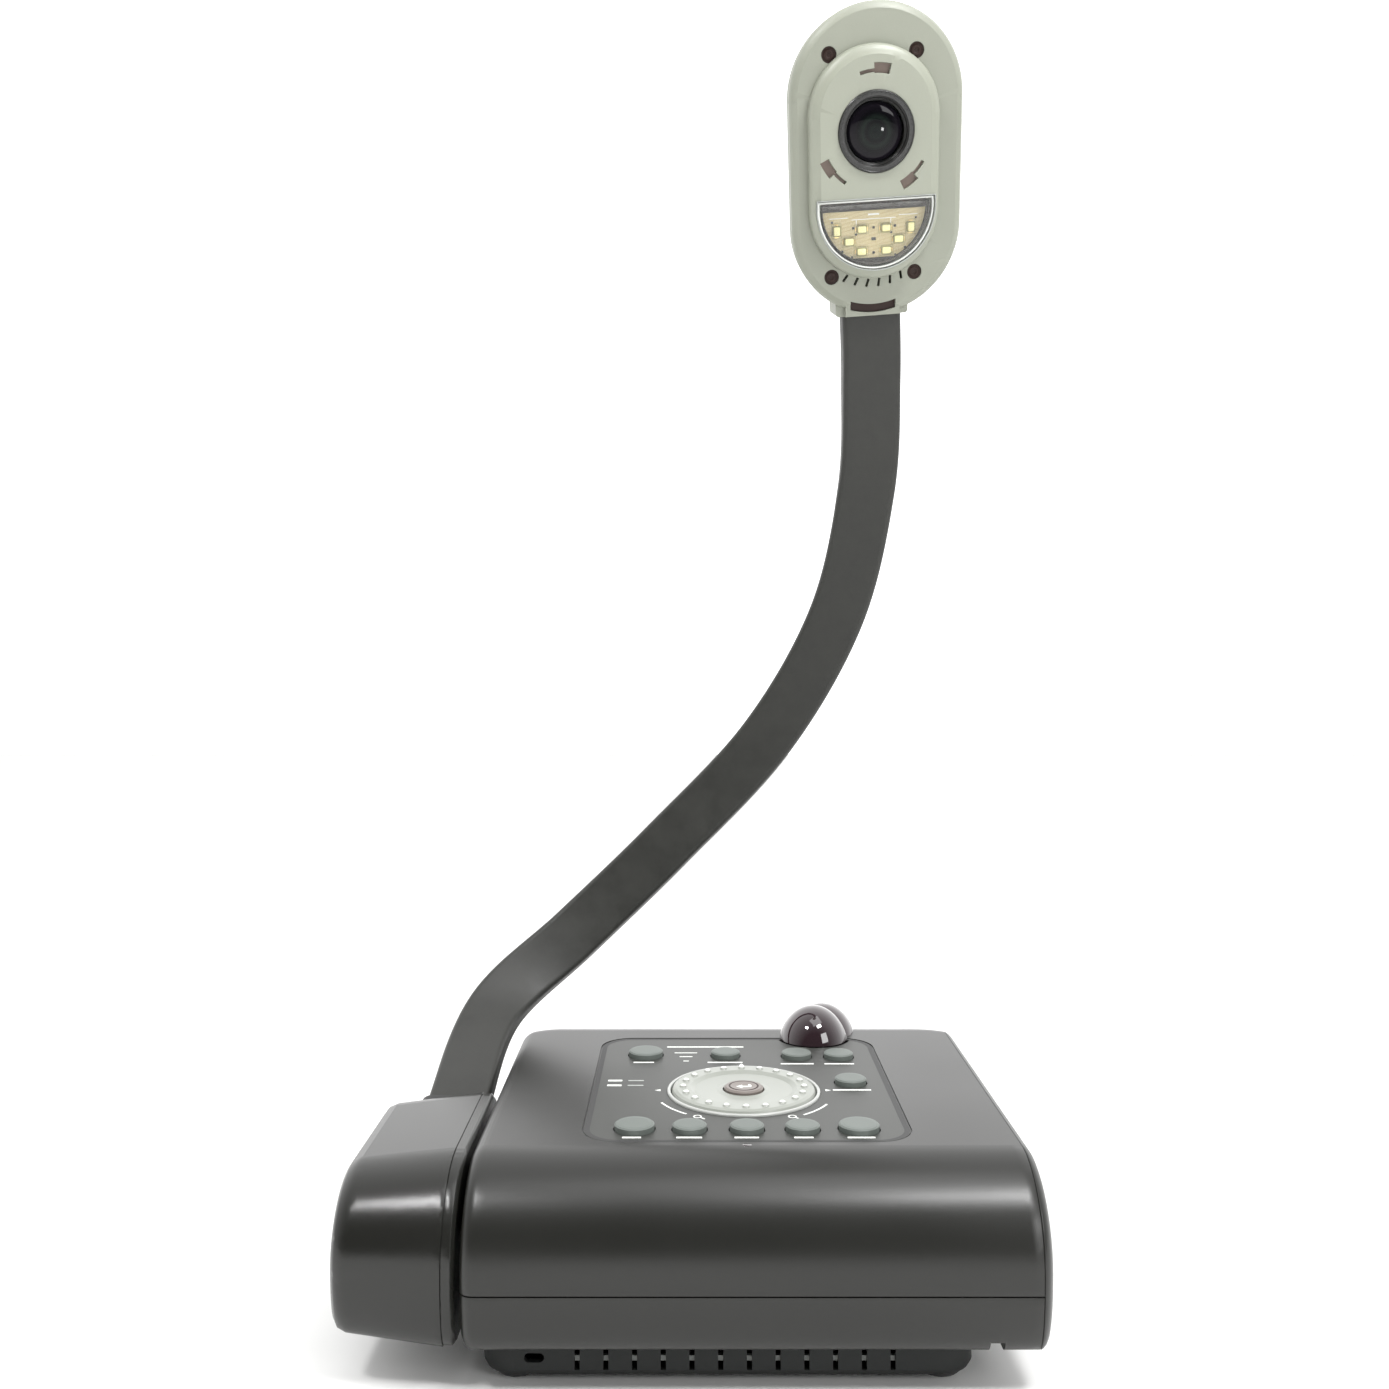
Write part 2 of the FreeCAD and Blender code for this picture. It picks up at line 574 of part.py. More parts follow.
def arm_axes(s):
    """Along, across and facing directions of the band at distance s."""
    along = unit(arm_point(s + 4.0) - arm_point(s - 4.0))
    stops = [(share, V(*way)) for share, way in ARM_FACING] + [(0.97, HEAD_FORWARD), (2.0, HEAD_FORWARD)]
    share = s / ARM_LENGTH
    facing = stops[0][1]
    for (s0, way0), (s1, way1) in zip(stops, stops[1:]):
        if s0 <= share <= s1:
            t = (share - s0) / (s1 - s0)
            t = t * t * (3 - 2 * t)
            facing = way0 + (way1 - way0) * t
    face = unit(facing - along * facing.dot(along))
    return along, along.cross(face), face


def band_wire(s, width, thick, corner):
    along, across, face = arm_axes(s)
    rotation = FreeCAD.Rotation(across, face, along * -1.0, "ZXY")
    wire = rounded_rect(-width / 2, width / 2, -thick / 2, thick / 2, 0, corner)
    wire.Placement = FreeCAD.Placement(arm_point(s), rotation)
    return wire


def band(s0, s1, extra=0.0, width=ARM_WIDTH, thick=ARM_THICK, corner=ARM_CORNER):
    """Band from s0 to s1, wider and thicker all round by extra."""
    count = max(2, int(round((s1 - s0) / STEP)) + 1)
    wires = []
    for i in range(count):
        s = s0 + (s1 - s0) * i / (count - 1)
        wires.append(band_wire(s, width + 2 * extra, thick + 2 * extra, corner + extra))
    return loft(wires, False)


def hinge(index):
    """Station, kind, centre and axis of one hinge of the arm."""
    s, kind = HINGES[index]
    along, across, face = arm_axes(s)
    axis = across if kind == "pitch" else face
    return s, kind, arm_point(s), axis, along


def across_rod(centre, axis, r):
    return Part.makeCylinder(r, 60, centre - axis * 30, axis)


def ahead_of(centre, axis, along):
    """Large block on the far side of a hinge, starting at its axis."""
    rotation = FreeCAD.Rotation(axis, axis.cross(along) * -1.0, along, "ZXY")
    block = Part.makeBox(80, 80, 40, V(-40, -40, 0))
    block.Placement = FreeCAD.Placement(centre, rotation)
    return block


def arm_sleeve(index, hollow=True):
    """One length of the sleeve: a hollow cut at its lower end and a round knuckle at its upper end.

    With hollow off it is the plain length, with no cuts.
    """
    start = HINGES[index - 1][0] if index > 0 else 0.0
    last = index == len(HINGES)
    end = ARM_LENGTH if last else HINGES[index][0] + KNUCKLE[HINGES[index][1]][0] + 2.0
    piece = band(start, end)
    if not hollow:
        return piece
    if index > 0:
        _, kind, centre, axis, _ = hinge(index - 1)
        piece = piece.cut(across_rod(centre, axis, KNUCKLE[kind][1]))
    if not last:
        _, kind, centre, axis, along = hinge(index)
        beyond = ahead_of(centre, axis, along).cut(across_rod(centre, axis, KNUCKLE[kind][0]))
        piece = piece.cut(beyond)
    return piece.cut(core_space(index))


def core_space(index):
    start = HINGES[index - 1][0] + CORE_END[HINGES[index - 1][1]] if index > 0 else 4.0
    last = index == len(HINGES)
    end = ARM_LENGTH - 4.0 if last else HINGES[index][0] - 4.0
    return band(start, end, 0.0, CORE_WIDTH, CORE_THICK, 1.9)


def collar_solid():
    return band(16.0, 30.0, 2.2)


def exit_collar():
    return collar_solid().cut(arm_sleeve(0, False))


def arm_anchor():
    """Two plates that clamp the start of the arm."""
    block = band(1.0, 10.0, 0.0, ARM_WIDTH - 1.0, ARM_THICK + 7.0, 0.5)
    return block.cut(arm_sleeve(0, False))


# ---------------------------------------------------------------- head, in its own right-up-forward frame
def stadium(width, low, high, z, side=0.0):
    """Upright stadium outline, its middle shifted sideways by side."""
    r = width / 2

    def p(x, y):
        return V(x + side, y, z)
    top = Part.Arc(p(r, high - r), p(0, high), p(-r, high - r)).toShape()
    bottom = Part.Arc(p(-r, low + r), p(0, low), p(r, low + r)).toShape()
    return Part.Wire([line(p(r, low + r), p(r, high - r)), top, line(p(-r, high - r), p(-r, low + r)), bottom])


def stadium_stack(stations, shrink=0.0):
    """Solid through stadiums; each station is (z, inset)."""
    wires = []
    for z, inset in stations:
        i = inset + shrink
        wires.append(stadium(HEAD_W - 2 * i, HEAD_LOW + i, HEAD_HIGH - i, z, HEAD_SIDE))
    return loft(wires)


def d_plate(r, flat, z0, z1):
    disc = Part.makeCylinder(r, z1 - z0, V(0, WINDOW_Y, z0))
    return disc.common(box(-60, 60, -60, flat, z0, z1))


def placed(shape):
    shape.Placement = FreeCAD.Placement(NECK, FreeCAD.Rotation(HEAD_RIGHT, HEAD_UP, HEAD_FORWARD, "ZXY"))
    return shape


def neck_block():
    return rounded_slab(-16, 16, -1.6, 9.0, -15.4, -2.7, 1.5)


def arm_room():
    """Space that the head leaves for the arm's end, in the frame of the whole object."""
    return band(ARM_LENGTH - 44.0, ARM_LENGTH, 0.3)


def wide_slot():
    ring = Part.makeCylinder(35.6, 12, V(0, HEAD_LOW + HEAD_W / 2, -6)).cut(
        Part.makeCylinder(32.0, 14, V(0, HEAD_LOW + HEAD_W / 2, -7)))
    return ring.common(box(-9.9, 9.9, -5, 12, -6, 6))


def head_front_shell():
    outer = stadium_stack(((HEAD_SEAM + 0.25, 0.3), (-2.8, 0.0), (-1.0, 1.0), (0.0, 3.0)))
    inner = stadium_stack(((HEAD_SEAM - 1, 2.4), (-2.4, 2.4)))
    tab = box(-12, 12, -1.5, 6, -2.3, -0.5)
    shell = fuse([outer.cut(inner), tab])
    tools = [neck_block(), wide_slot()]
    tools.append(Part.makeCylinder(BARREL_R + 0.6, 20, V(0, LENS_Y, -10)))
    tools.append(d_plate(WINDOW_R - 1.0, WINDOW_FLAT - 1.0, -10, 10))
    tools += [Part.makeCylinder(PLUG_R, 20, V(x, y, -10)) for x, y in PLUG_SPOTS]
    for i in range(6):
        a = radians(-90 + (i - 2.5) * 9.6)
        spot = V(29.8 * cos(a), WINDOW_Y - 1.4 + 29.8 * sin(a), -6)
        slit = Part.makeBox(1.1, 3.4, 10, V(-0.55, -1.7, 0))
        slit.Placement = FreeCAD.Placement(spot, FreeCAD.Rotation(V(0, 0, 1), (i - 2.5) * 9.6 - 14))
        tools.append(slit)
    return placed(cut(shell, tools)).cut(arm_room())


def head_rear_shell():
    stations = ((HEAD_SEAM - 0.25, 0.3), (-12, 0.8), (-17, 3.2), (-21.5, 8.0), (-24.2, 14.0), (HEAD_BACK, 19.0))
    outer = stadium_stack(stations)
    inner = stadium_stack([(z + (2.4 if z < -8 else 1.0), i) for z, i in stations], 2.4)
    shell = outer.cut(inner)
    return placed(shell.cut(neck_block())).cut(arm_room())


def neck_collar():
    return placed(neck_block()).cut(arm_sleeve(len(HINGES), False))


def lens_bezel():
    inset = (BEZEL_W - BEZEL_FACE_W) / 2
    wires = []
    for z, i in ((0.0, 0.0), (BEZEL_SIDE - 1.2, 0.35), (BEZEL_SIDE, 1.2), (BEZEL_TOP, inset)):
        wires.append(stadium(BEZEL_W - 2 * i, BEZEL_LOW + i, BEZEL_HIGH - i, z))
    shell = loft(wires)
    hollow = Part.Face(stadium(BEZEL_W - 9, BEZEL_LOW + 4.5, BEZEL_HIGH - 4.5, -1)).extrude(V(0, 0, 4.2))
    tools = [hollow, Part.makeCylinder(BARREL_R, 20, V(0, LENS_Y, -10))]
    tools.append(d_plate(WINDOW_R, WINDOW_FLAT, WINDOW_LOW, 10))
    for block, arc in ((84, 99), (213, 228), (305, 320)):
        tools.append(bayonet_slot(block, 8.0, 22.0, 26.0))
        tools.append(bayonet_slot(arc, 8.0, 22.4, 23.8))
    return placed(cut(shell, tools))


def bayonet_slot(angle, half, r0, r1):
    """Arc-shaped pocket round the lens, 1.6 mm deep."""
    ring = Part.makeCylinder(r1, 8, V(0, LENS_Y, BEZEL_TOP - 1.6), V(0, 0, 1), 2 * half)
    ring = ring.cut(Part.makeCylinder(r0, 10, V(0, LENS_Y, BEZEL_TOP - 2)))
    ring.rotate(V(0, LENS_Y, 0), V(0, 0, 1), angle - half)
    return ring


def lens_barrel():
    f = BARREL_FRONT
    profile = ((7.0, -9.0), (12.6, -9.0), (12.6, -3.0), (BARREL_R, -3.0), (BARREL_R, f - 0.5),
               (BARREL_R - 0.5, f), (13.6, f), (12.9, f - 2.6), (12.2, f - 2.8), (12.2, 1.0), (7.0, 1.0))
    return placed(turned(profile, 0, LENS_Y))


def lens_glass():
    profile = ((0, 1.0), (12.2, 1.0), (12.2, 2.2), (11.0, 3.1), (8.5, 4.0), (5.5, 4.6), (2.5, 4.9), (0, 5.0))
    return placed(turned(profile, 0, LENS_Y))


def image_board():
    return placed(rounded_slab(-15, 15, LENS_Y - 17, LENS_Y + 17, -10.8, -9.0, 2))


def lamp_window():
    shell = d_plate(WINDOW_R - 0.1, WINDOW_FLAT - 0.1, WINDOW_LOW, WINDOW_HIGH)
    return placed(shell.cut(d_plate(WINDOW_R - 2.6, WINDOW_FLAT - 2.4, WINDOW_LOW - 1, WINDOW_HIGH - 1.1)))


def lamp_board():
    board = d_plate(WINDOW_R - 3.0, LAMP_BOARD_TOP, -0.4, 0.8)
    board = board.common(box(-40, 40, WINDOW_Y - 20.6, 60, -5, 5))
    posts = [Part.makeCylinder(1.6, 3.0, V(x, 38.5, -3.3)) for x in (-9, 9)]
    return placed(fuse([board] + posts))


def lamp_leds():
    lamps = []
    for x, y, turn in LED_SPOTS:
        lamp = rounded_slab(-2.2, 2.2, -1.7, 1.7, 0.8, 2.0, 0.5)
        lamp.Placement = FreeCAD.Placement(V(x, y, 0), FreeCAD.Rotation(V(0, 0, 1), turn))
        lamps.append(lamp)
    return placed(group(lamps))


def head_plugs():
    return placed(group(Part.makeCylinder(PLUG_R, 1.6, V(x, y, -2.3)) for x, y in PLUG_SPOTS))


# ---------------------------------------------------------------- write every node
def nodes():
    made = {
        "upper_housing": upper_housing, "lower_housing": lower_housing, "side_cover": side_cover,
        "vent_plinth": vent_plinth, "feet": feet, "ballast_plate": ballast_plate,
        "housing_screws": housing_screws, "main_board": main_board, "keypad_panel": keypad_panel,
        "key_board": key_board, "key_switches": key_switches, "wheel_ring": wheel_ring,
        "wheel_bearing": wheel_bearing, "zoom_wheel": zoom_wheel, "enter_button": enter_button,
        "ir_dome": ir_dome, "ir_receiver": ir_receiver, "rear_panel": rear_panel,
        "video_ports": video_ports, "audio_jacks": audio_jacks, "usb_ports": usb_ports, "dc_jack": dc_jack,
        "pod_shell": pod_shell, "pod_inner_cover": pod_inner_cover,
        "exit_collar": exit_collar, "arm_anchor": arm_anchor,
        "head_front_shell": head_front_shell, "head_rear_shell": head_rear_shell,
        "neck_collar": neck_collar, "lens_bezel": lens_bezel, "lens_barrel": lens_barrel,
        "lens_glass": lens_glass, "image_board": image_board, "lamp_window": lamp_window,
        "lamp_board": lamp_board, "lamp_leds": lamp_leds, "head_plugs": head_plugs,
    }
    for name, build in made.items():
        yield name, build()
    for name, spot in KEYS.items():
        yield name, key(*spot)
    for i in range(len(HINGES) + 1):
        yield "arm_sleeve_%d" % (i + 1), arm_sleeve(i)
        yield "gooseneck_core_%d" % (i + 1), core_space(i)


def main():
    os.makedirs("parts", exist_ok=True)
    for name, shape in nodes():
        shape.exportStep(os.path.join("parts", name + ".step"))
        print("%-18s solids %d valid %s volume %.0f"
              % (name, len(shape.Solids), shape.isValid(), shape.Volume))
    print("arm length %.1f" % ARM_LENGTH)
    for i, (_, kind) in enumerate(HINGES):
        _, _, centre, axis, _ = hinge(i)
        print("hinge %d %s at (%.4f, %.4f, %.4f) axis (%.5f, %.5f, %.5f)"
              % ((i + 1, kind) + tuple(centre) + tuple(axis)))


main()
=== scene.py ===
"""Looks of the gooseneck document camera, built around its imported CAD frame. Metres, +Z up."""
from math import atan2, cos, pi, radians, sin, sqrt

import bmesh
import bpy
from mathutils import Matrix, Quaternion, Vector


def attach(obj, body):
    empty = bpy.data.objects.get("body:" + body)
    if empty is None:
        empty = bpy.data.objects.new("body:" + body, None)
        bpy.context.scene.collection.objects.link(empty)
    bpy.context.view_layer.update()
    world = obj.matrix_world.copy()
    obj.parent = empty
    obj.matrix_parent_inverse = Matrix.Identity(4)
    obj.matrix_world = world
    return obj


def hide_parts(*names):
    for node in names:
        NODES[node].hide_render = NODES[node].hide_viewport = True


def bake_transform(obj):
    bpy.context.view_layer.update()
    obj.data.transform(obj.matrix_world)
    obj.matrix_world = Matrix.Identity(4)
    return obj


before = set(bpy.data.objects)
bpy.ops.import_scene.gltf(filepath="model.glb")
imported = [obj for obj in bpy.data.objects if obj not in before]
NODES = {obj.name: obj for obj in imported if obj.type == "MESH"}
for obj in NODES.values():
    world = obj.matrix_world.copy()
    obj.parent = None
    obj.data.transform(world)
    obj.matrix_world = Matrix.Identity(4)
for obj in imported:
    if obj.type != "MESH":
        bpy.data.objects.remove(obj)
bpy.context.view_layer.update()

MM = 0.001
ARC_STEPS, D_STEPS = 24, 40


# ---------------------------------------------------------------- shader helpers
class Shader:
    """Small wrapper that builds one node-based material."""

    def __init__(self, name):
        self.material = bpy.data.materials.new(name)
        self.material.use_nodes = True
        self.tree = self.material.node_tree
        self.bsdf = self.tree.nodes["Principled BSDF"]
        self.place = self.node("ShaderNodeTexCoord").outputs["Object"]

    def node(self, kind, **values):
        made = self.tree.nodes.new(kind)
        for key, value in values.items():
            setattr(made, key, value)
        return made

    def link(self, source, target):
        self.tree.links.new(source, target)

    def noise(self, scale, detail=4.0, rough=0.55, stretch=(1, 1, 1)):
        """Noise value at the given number of features per metre."""
        mapping = self.node("ShaderNodeMapping")
        mapping.inputs["Scale"].default_value = stretch
        self.link(self.place, mapping.inputs["Vector"])
        made = self.node("ShaderNodeTexNoise")
        made.inputs["Scale"].default_value = scale
        made.inputs["Detail"].default_value = detail
        made.inputs["Roughness"].default_value = rough
        self.link(mapping.outputs["Vector"], made.inputs["Vector"])
        return made.outputs["Fac"]

    def remap(self, value, low, high, out_low, out_high):
        made = self.node("ShaderNodeMapRange")
        settings = {"From Min": low, "From Max": high, "To Min": out_low, "To Max": out_high}
        for name, number in settings.items():
            made.inputs[name].default_value = number
        self.link(value, made.inputs["Value"])
        return made.outputs["Result"]

    def math(self, operation, a, b):
        made = self.node("ShaderNodeMath", operation=operation)
        for socket, value in zip(made.inputs, (a, b)):
            if isinstance(value, (int, float)):
                socket.default_value = value
            else:
                self.link(value, socket)
        return made.outputs["Value"]

    def mix(self, share, a, b):
        made = self.node("ShaderNodeMix", data_type="RGBA")
        for socket, value in ((made.inputs[0], share), (made.inputs[6], a), (made.inputs[7], b)):
            if isinstance(value, (int, float)):
                socket.default_value = value
            elif isinstance(value, tuple):
                socket.default_value = value + (1.0,)
            else:
                self.link(value, socket)
        return made.outputs[2]

    def bump(self, height, distance):
        made = self.node("ShaderNodeBump")
        made.inputs["Strength"].default_value = 1.0
        made.inputs["Distance"].default_value = distance
        self.link(height, made.inputs["Height"])
        self.link(made.outputs["Normal"], self.bsdf.inputs["Normal"])

    def edges(self):
        """Share of worn edge, 0 on flats and 1 on sharp outer edges."""
        point = self.node("ShaderNodeNewGeometry").outputs["Pointiness"]
        return self.remap(point, 0.52, 0.60, 0.0, 1.0)

    def set(self, **values):
        for name, value in values.items():
            self.bsdf.inputs[name.replace("_", " ")].default_value = value


def plastic(name, colour, rough, grain=5200.0, depth=0.000007, blotch=0.05, wear=0.25, coat=0.0, spec=0.5):
    """Moulded plastic: spark-eroded grain, soft colour drift, faint handling marks and rubbed patches."""
    s = Shader(name)
    drift = s.noise(28.0, 3.0)
    dark = tuple(c * (1 - blotch) for c in colour)
    light = tuple(min(1.0, c * (1 + blotch)) for c in colour)
    base = s.mix(drift, dark, light)
    speck = s.remap(s.noise(2600.0, 2.0), 0.35, 0.65, 0.0, 1.0)
    base = s.mix(s.math("MULTIPLY", speck, 0.05), base, tuple(min(1.0, c * 1.5 + 0.01) for c in colour))
    rubbed = s.math("MULTIPLY", s.remap(s.noise(22.0, 4.0, 0.6), 0.45, 0.75, 0.0, 1.0), wear)
    base = s.mix(rubbed, base, tuple(min(1.0, c * 1.12 + 0.001) for c in colour))
    s.link(base, s.bsdf.inputs["Base Color"])
    handled = s.remap(s.noise(18.0, 1.0, 0.4), 0.3, 0.7, rough - 0.015, rough + 0.02)
    s.link(handled, s.bsdf.inputs["Roughness"])
    s.set(Specular_IOR_Level=spec, Coat_Weight=coat, Coat_Roughness=0.25)
    s.bump(s.noise(grain, 2.0, 0.5), depth)
    return s.material


def rubber(name, colour, rough):
    """Extruded sleeve rubber: fine grain with long faint draw lines and a dusty bloom."""
    s = Shader(name)
    bloom = s.remap(s.noise(70.0, 6.0, 0.7), 0.35, 0.75, 0.0, 1.0)
    base = s.mix(bloom, colour, tuple(c * 1.45 + 0.004 for c in colour))
    base = s.mix(s.math("MULTIPLY", s.edges(), 0.35), base, tuple(c * 2.2 + 0.02 for c in colour))
    s.link(base, s.bsdf.inputs["Base Color"])
    s.link(s.remap(bloom, 0, 1, rough - 0.06, rough + 0.08), s.bsdf.inputs["Roughness"])
    s.set(Sheen_Weight=0.05, Sheen_Roughness=0.5, Specular_IOR_Level=0.5)
    fine = s.noise(3800.0, 3.0, 0.6)
    lines = s.noise(900.0, 2.0, 0.5, (1.0, 1.0, 0.05))
    s.bump(s.math("ADD", s.math("MULTIPLY", fine, 0.7), s.math("MULTIPLY", lines, 0.5)), 0.00003)
    return s.material


def metal(name, colour, rough, brushed=(1, 1, 1), scale=2500.0):
    """Plated or brushed metal with fine scratches and faint tarnish."""
    s = Shader(name)
    tarnish = s.remap(s.noise(120.0, 5.0, 0.7), 0.45, 0.8, 0.0, 0.5)
    base = s.mix(tarnish, colour, tuple(c * 0.55 for c in colour))
    s.link(base, s.bsdf.inputs["Base Color"])
    scratch = s.noise(scale, 3.0, 0.6, brushed)
    s.link(s.remap(scratch, 0.3, 0.7, rough - 0.06, rough + 0.10), s.bsdf.inputs["Roughness"])
    s.set(Metallic=1.0)
    s.bump(scratch, 0.000012)
    return s.material


def circuit_board(name, colour, trace, trace_scale=260.0):
    """Solder mask with copper tracks showing through as slightly lighter lines."""
    s = Shader(name)
    brick = s.node("ShaderNodeTexBrick", offset=0.35, squash=0.7)
    brick.inputs["Scale"].default_value = trace_scale
    brick.inputs["Mortar Size"].default_value = 0.035
    brick.inputs["Mortar Smooth"].default_value = 0.2
    s.link(s.place, brick.inputs["Vector"])
    track = brick.outputs["Fac"]
    base = s.mix(s.noise(90.0, 3.0), tuple(c * 0.88 for c in colour), tuple(min(1, c * 1.08) for c in colour))
    base = s.mix(s.math("MULTIPLY", track, 0.55), base, trace)
    s.link(base, s.bsdf.inputs["Base Color"])
    s.link(s.remap(s.noise(400.0), 0.3, 0.7, 0.28, 0.42), s.bsdf.inputs["Roughness"])
    s.bump(s.math("ADD", track, s.math("MULTIPLY", s.noise(3000.0), 0.3)), 0.00003)
    return s.material


def ink(name, colour):
    """Screen-printed ink with slightly uneven cover."""
    s = Shader(name)
    cover = s.remap(s.noise(2200.0, 4.0, 0.7), 0.3, 0.75, 0.0, 1.0)
    base = s.mix(cover, tuple(c * 0.86 for c in colour), colour)
    s.link(base, s.bsdf.inputs["Base Color"])
    s.link(s.remap(cover, 0, 1, 0.5, 0.62), s.bsdf.inputs["Roughness"])
    s.bump(cover, 0.000006)
    return s.material


def smoked_dome(name):
    """Infra-red pass plastic: near-black purple-brown, polished, with a faint orange-peel flow."""
    s = Shader(name)
    depth = s.noise(35.0, 2.0)
    s.link(s.mix(depth, (0.010, 0.004, 0.007), (0.028, 0.012, 0.016)), s.bsdf.inputs["Base Color"])
    s.link(s.remap(s.noise(500.0, 5.0, 0.7), 0.4, 0.8, 0.045, 0.12), s.bsdf.inputs["Roughness"])
    s.set(Coat_Weight=1.0, Coat_Roughness=0.03, Specular_IOR_Level=0.6)
    s.bump(s.noise(240.0, 2.0), 0.00002)
    return s.material


def lens_glass_painted_rings(name, centre):
    """Coated front element: black glass with faint violet and green rings round its centre, painted in as
    reflections of the inner lens elements.
    """
    s = Shader(name)
    away = s.node("ShaderNodeVectorMath", operation="DISTANCE")
    away.inputs[1].default_value = centre
    s.link(s.place, away.inputs[0])
    ramp = s.node("ShaderNodeValToRGB")
    # ramp stops: black glass with painted reflection rings of the inner lens elements
    stops = ((0.0, (0.002, 0.003, 0.004)), (0.20, (0.004, 0.007, 0.006)), (0.34, (0.002, 0.002, 0.003)),
             (0.46, (0.008, 0.012, 0.010)), (0.60, (0.003, 0.003, 0.004)), (0.80, (0.009, 0.007, 0.011)),
             (1.0, (0.004, 0.005, 0.005)))
    while len(ramp.color_ramp.elements) < len(stops):
        ramp.color_ramp.elements.new(0.5)
    for element, (where, colour) in zip(ramp.color_ramp.elements, stops):
        element.position = where
        element.color = colour + (1.0,)
    wobble = s.math("MULTIPLY", s.noise(160.0, 2.0), 0.08)
    s.link(s.math("ADD", s.remap(away.outputs["Value"], 0.0, 0.0125, 0.0, 0.94), wobble), ramp.inputs["Fac"])
    s.link(ramp.outputs["Color"], s.bsdf.inputs["Base Color"])
    s.link(s.remap(s.noise(900.0, 5.0, 0.8), 0.55, 0.8, 0.03, 0.16), s.bsdf.inputs["Roughness"])
    s.set(Coat_Weight=0.10, Coat_Roughness=0.02, Specular_IOR_Level=0.14)
    return s.material


def clear_plastic(name, alpha=0.05):
    """Clear moulded window with faint flow lines and a little dust."""
    s = Shader(name)
    dust = s.remap(s.noise(1400.0, 5.0, 0.75), 0.55, 0.75, 0.0, 1.0)
    s.link(s.mix(dust, (0.93, 0.95, 0.93), (0.80, 0.80, 0.76)), s.bsdf.inputs["Base Color"])
    s.link(s.math("ADD", s.math("MULTIPLY", dust, 0.10), alpha), s.bsdf.inputs["Alpha"])
    s.link(s.remap(dust, 0, 1, 0.04, 0.25), s.bsdf.inputs["Roughness"])
    s.set(IOR=1.49, Specular_IOR_Level=0.6)
    s.bump(s.noise(180.0, 2.0), 0.00003)
    return s.material


def phosphor(name):
    """Pale yellow-green lamp gel with grains of phosphor."""
    s = Shader(name)
    grain = s.noise(4200.0, 3.0, 0.7)
    s.link(s.mix(grain, (0.78, 0.70, 0.26), (0.98, 0.93, 0.52)), s.bsdf.inputs["Base Color"])
    s.link(s.remap(grain, 0.3, 0.7, 0.16, 0.34), s.bsdf.inputs["Roughness"])
    s.set(Subsurface_Weight=0.2, Subsurface_Scale=0.0006, Coat_Weight=0.4, Coat_Roughness=0.1)
    s.bump(grain, 0.00002)
    return s.material


def floor_paper(name):
    """White paper sweep with a slight mottle."""
    s = Shader(name)
    s.link(s.mix(s.noise(3.0, 3.0), (0.84, 0.84, 0.83), (0.88, 0.88, 0.87)), s.bsdf.inputs["Base Color"])
    s.link(s.remap(s.noise(40.0), 0.3, 0.7, 0.62, 0.72), s.bsdf.inputs["Roughness"])
    s.bump(s.noise(1500.0), 0.00002)
    return s.material


# ---------------------------------------------------------------- mesh helpers
def piece(name, verts, faces, material, body, slot, smooth=True, replaces=()):
    """Mesh object from points and faces; it rides its body, and takes the place of the nodes it replaces."""
    mesh = bpy.data.meshes.new(name)
    mesh.from_pydata([tuple(v) for v in verts], [], faces)
    mesh.update()
    made = bpy.data.objects.new(name, mesh)
    bpy.context.scene.collection.objects.link(made)
    mesh.materials.append(material)
    tidy = bmesh.new()
    tidy.from_mesh(mesh)
    bmesh.ops.recalc_face_normals(tidy, faces=tidy.faces)
    tidy.to_mesh(mesh)
    tidy.free()
    mesh.polygons.foreach_set("use_smooth", [smooth] * len(mesh.polygons))
    if body:
        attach(made, body)
    if replaces:
        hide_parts(*replaces)
    return made


def soften(obj, width, segments, angle):
    """Rounds the edges of an object that are sharper than an angle in degrees."""
    bevel = obj.modifiers.new("round", "BEVEL")
    bevel.width = width
    bevel.segments = segments
    bevel.limit_method = "ANGLE"
    bevel.angle_limit = radians(angle)
    bevel.use_clamp_overlap = True
    bevel.harden_normals = True


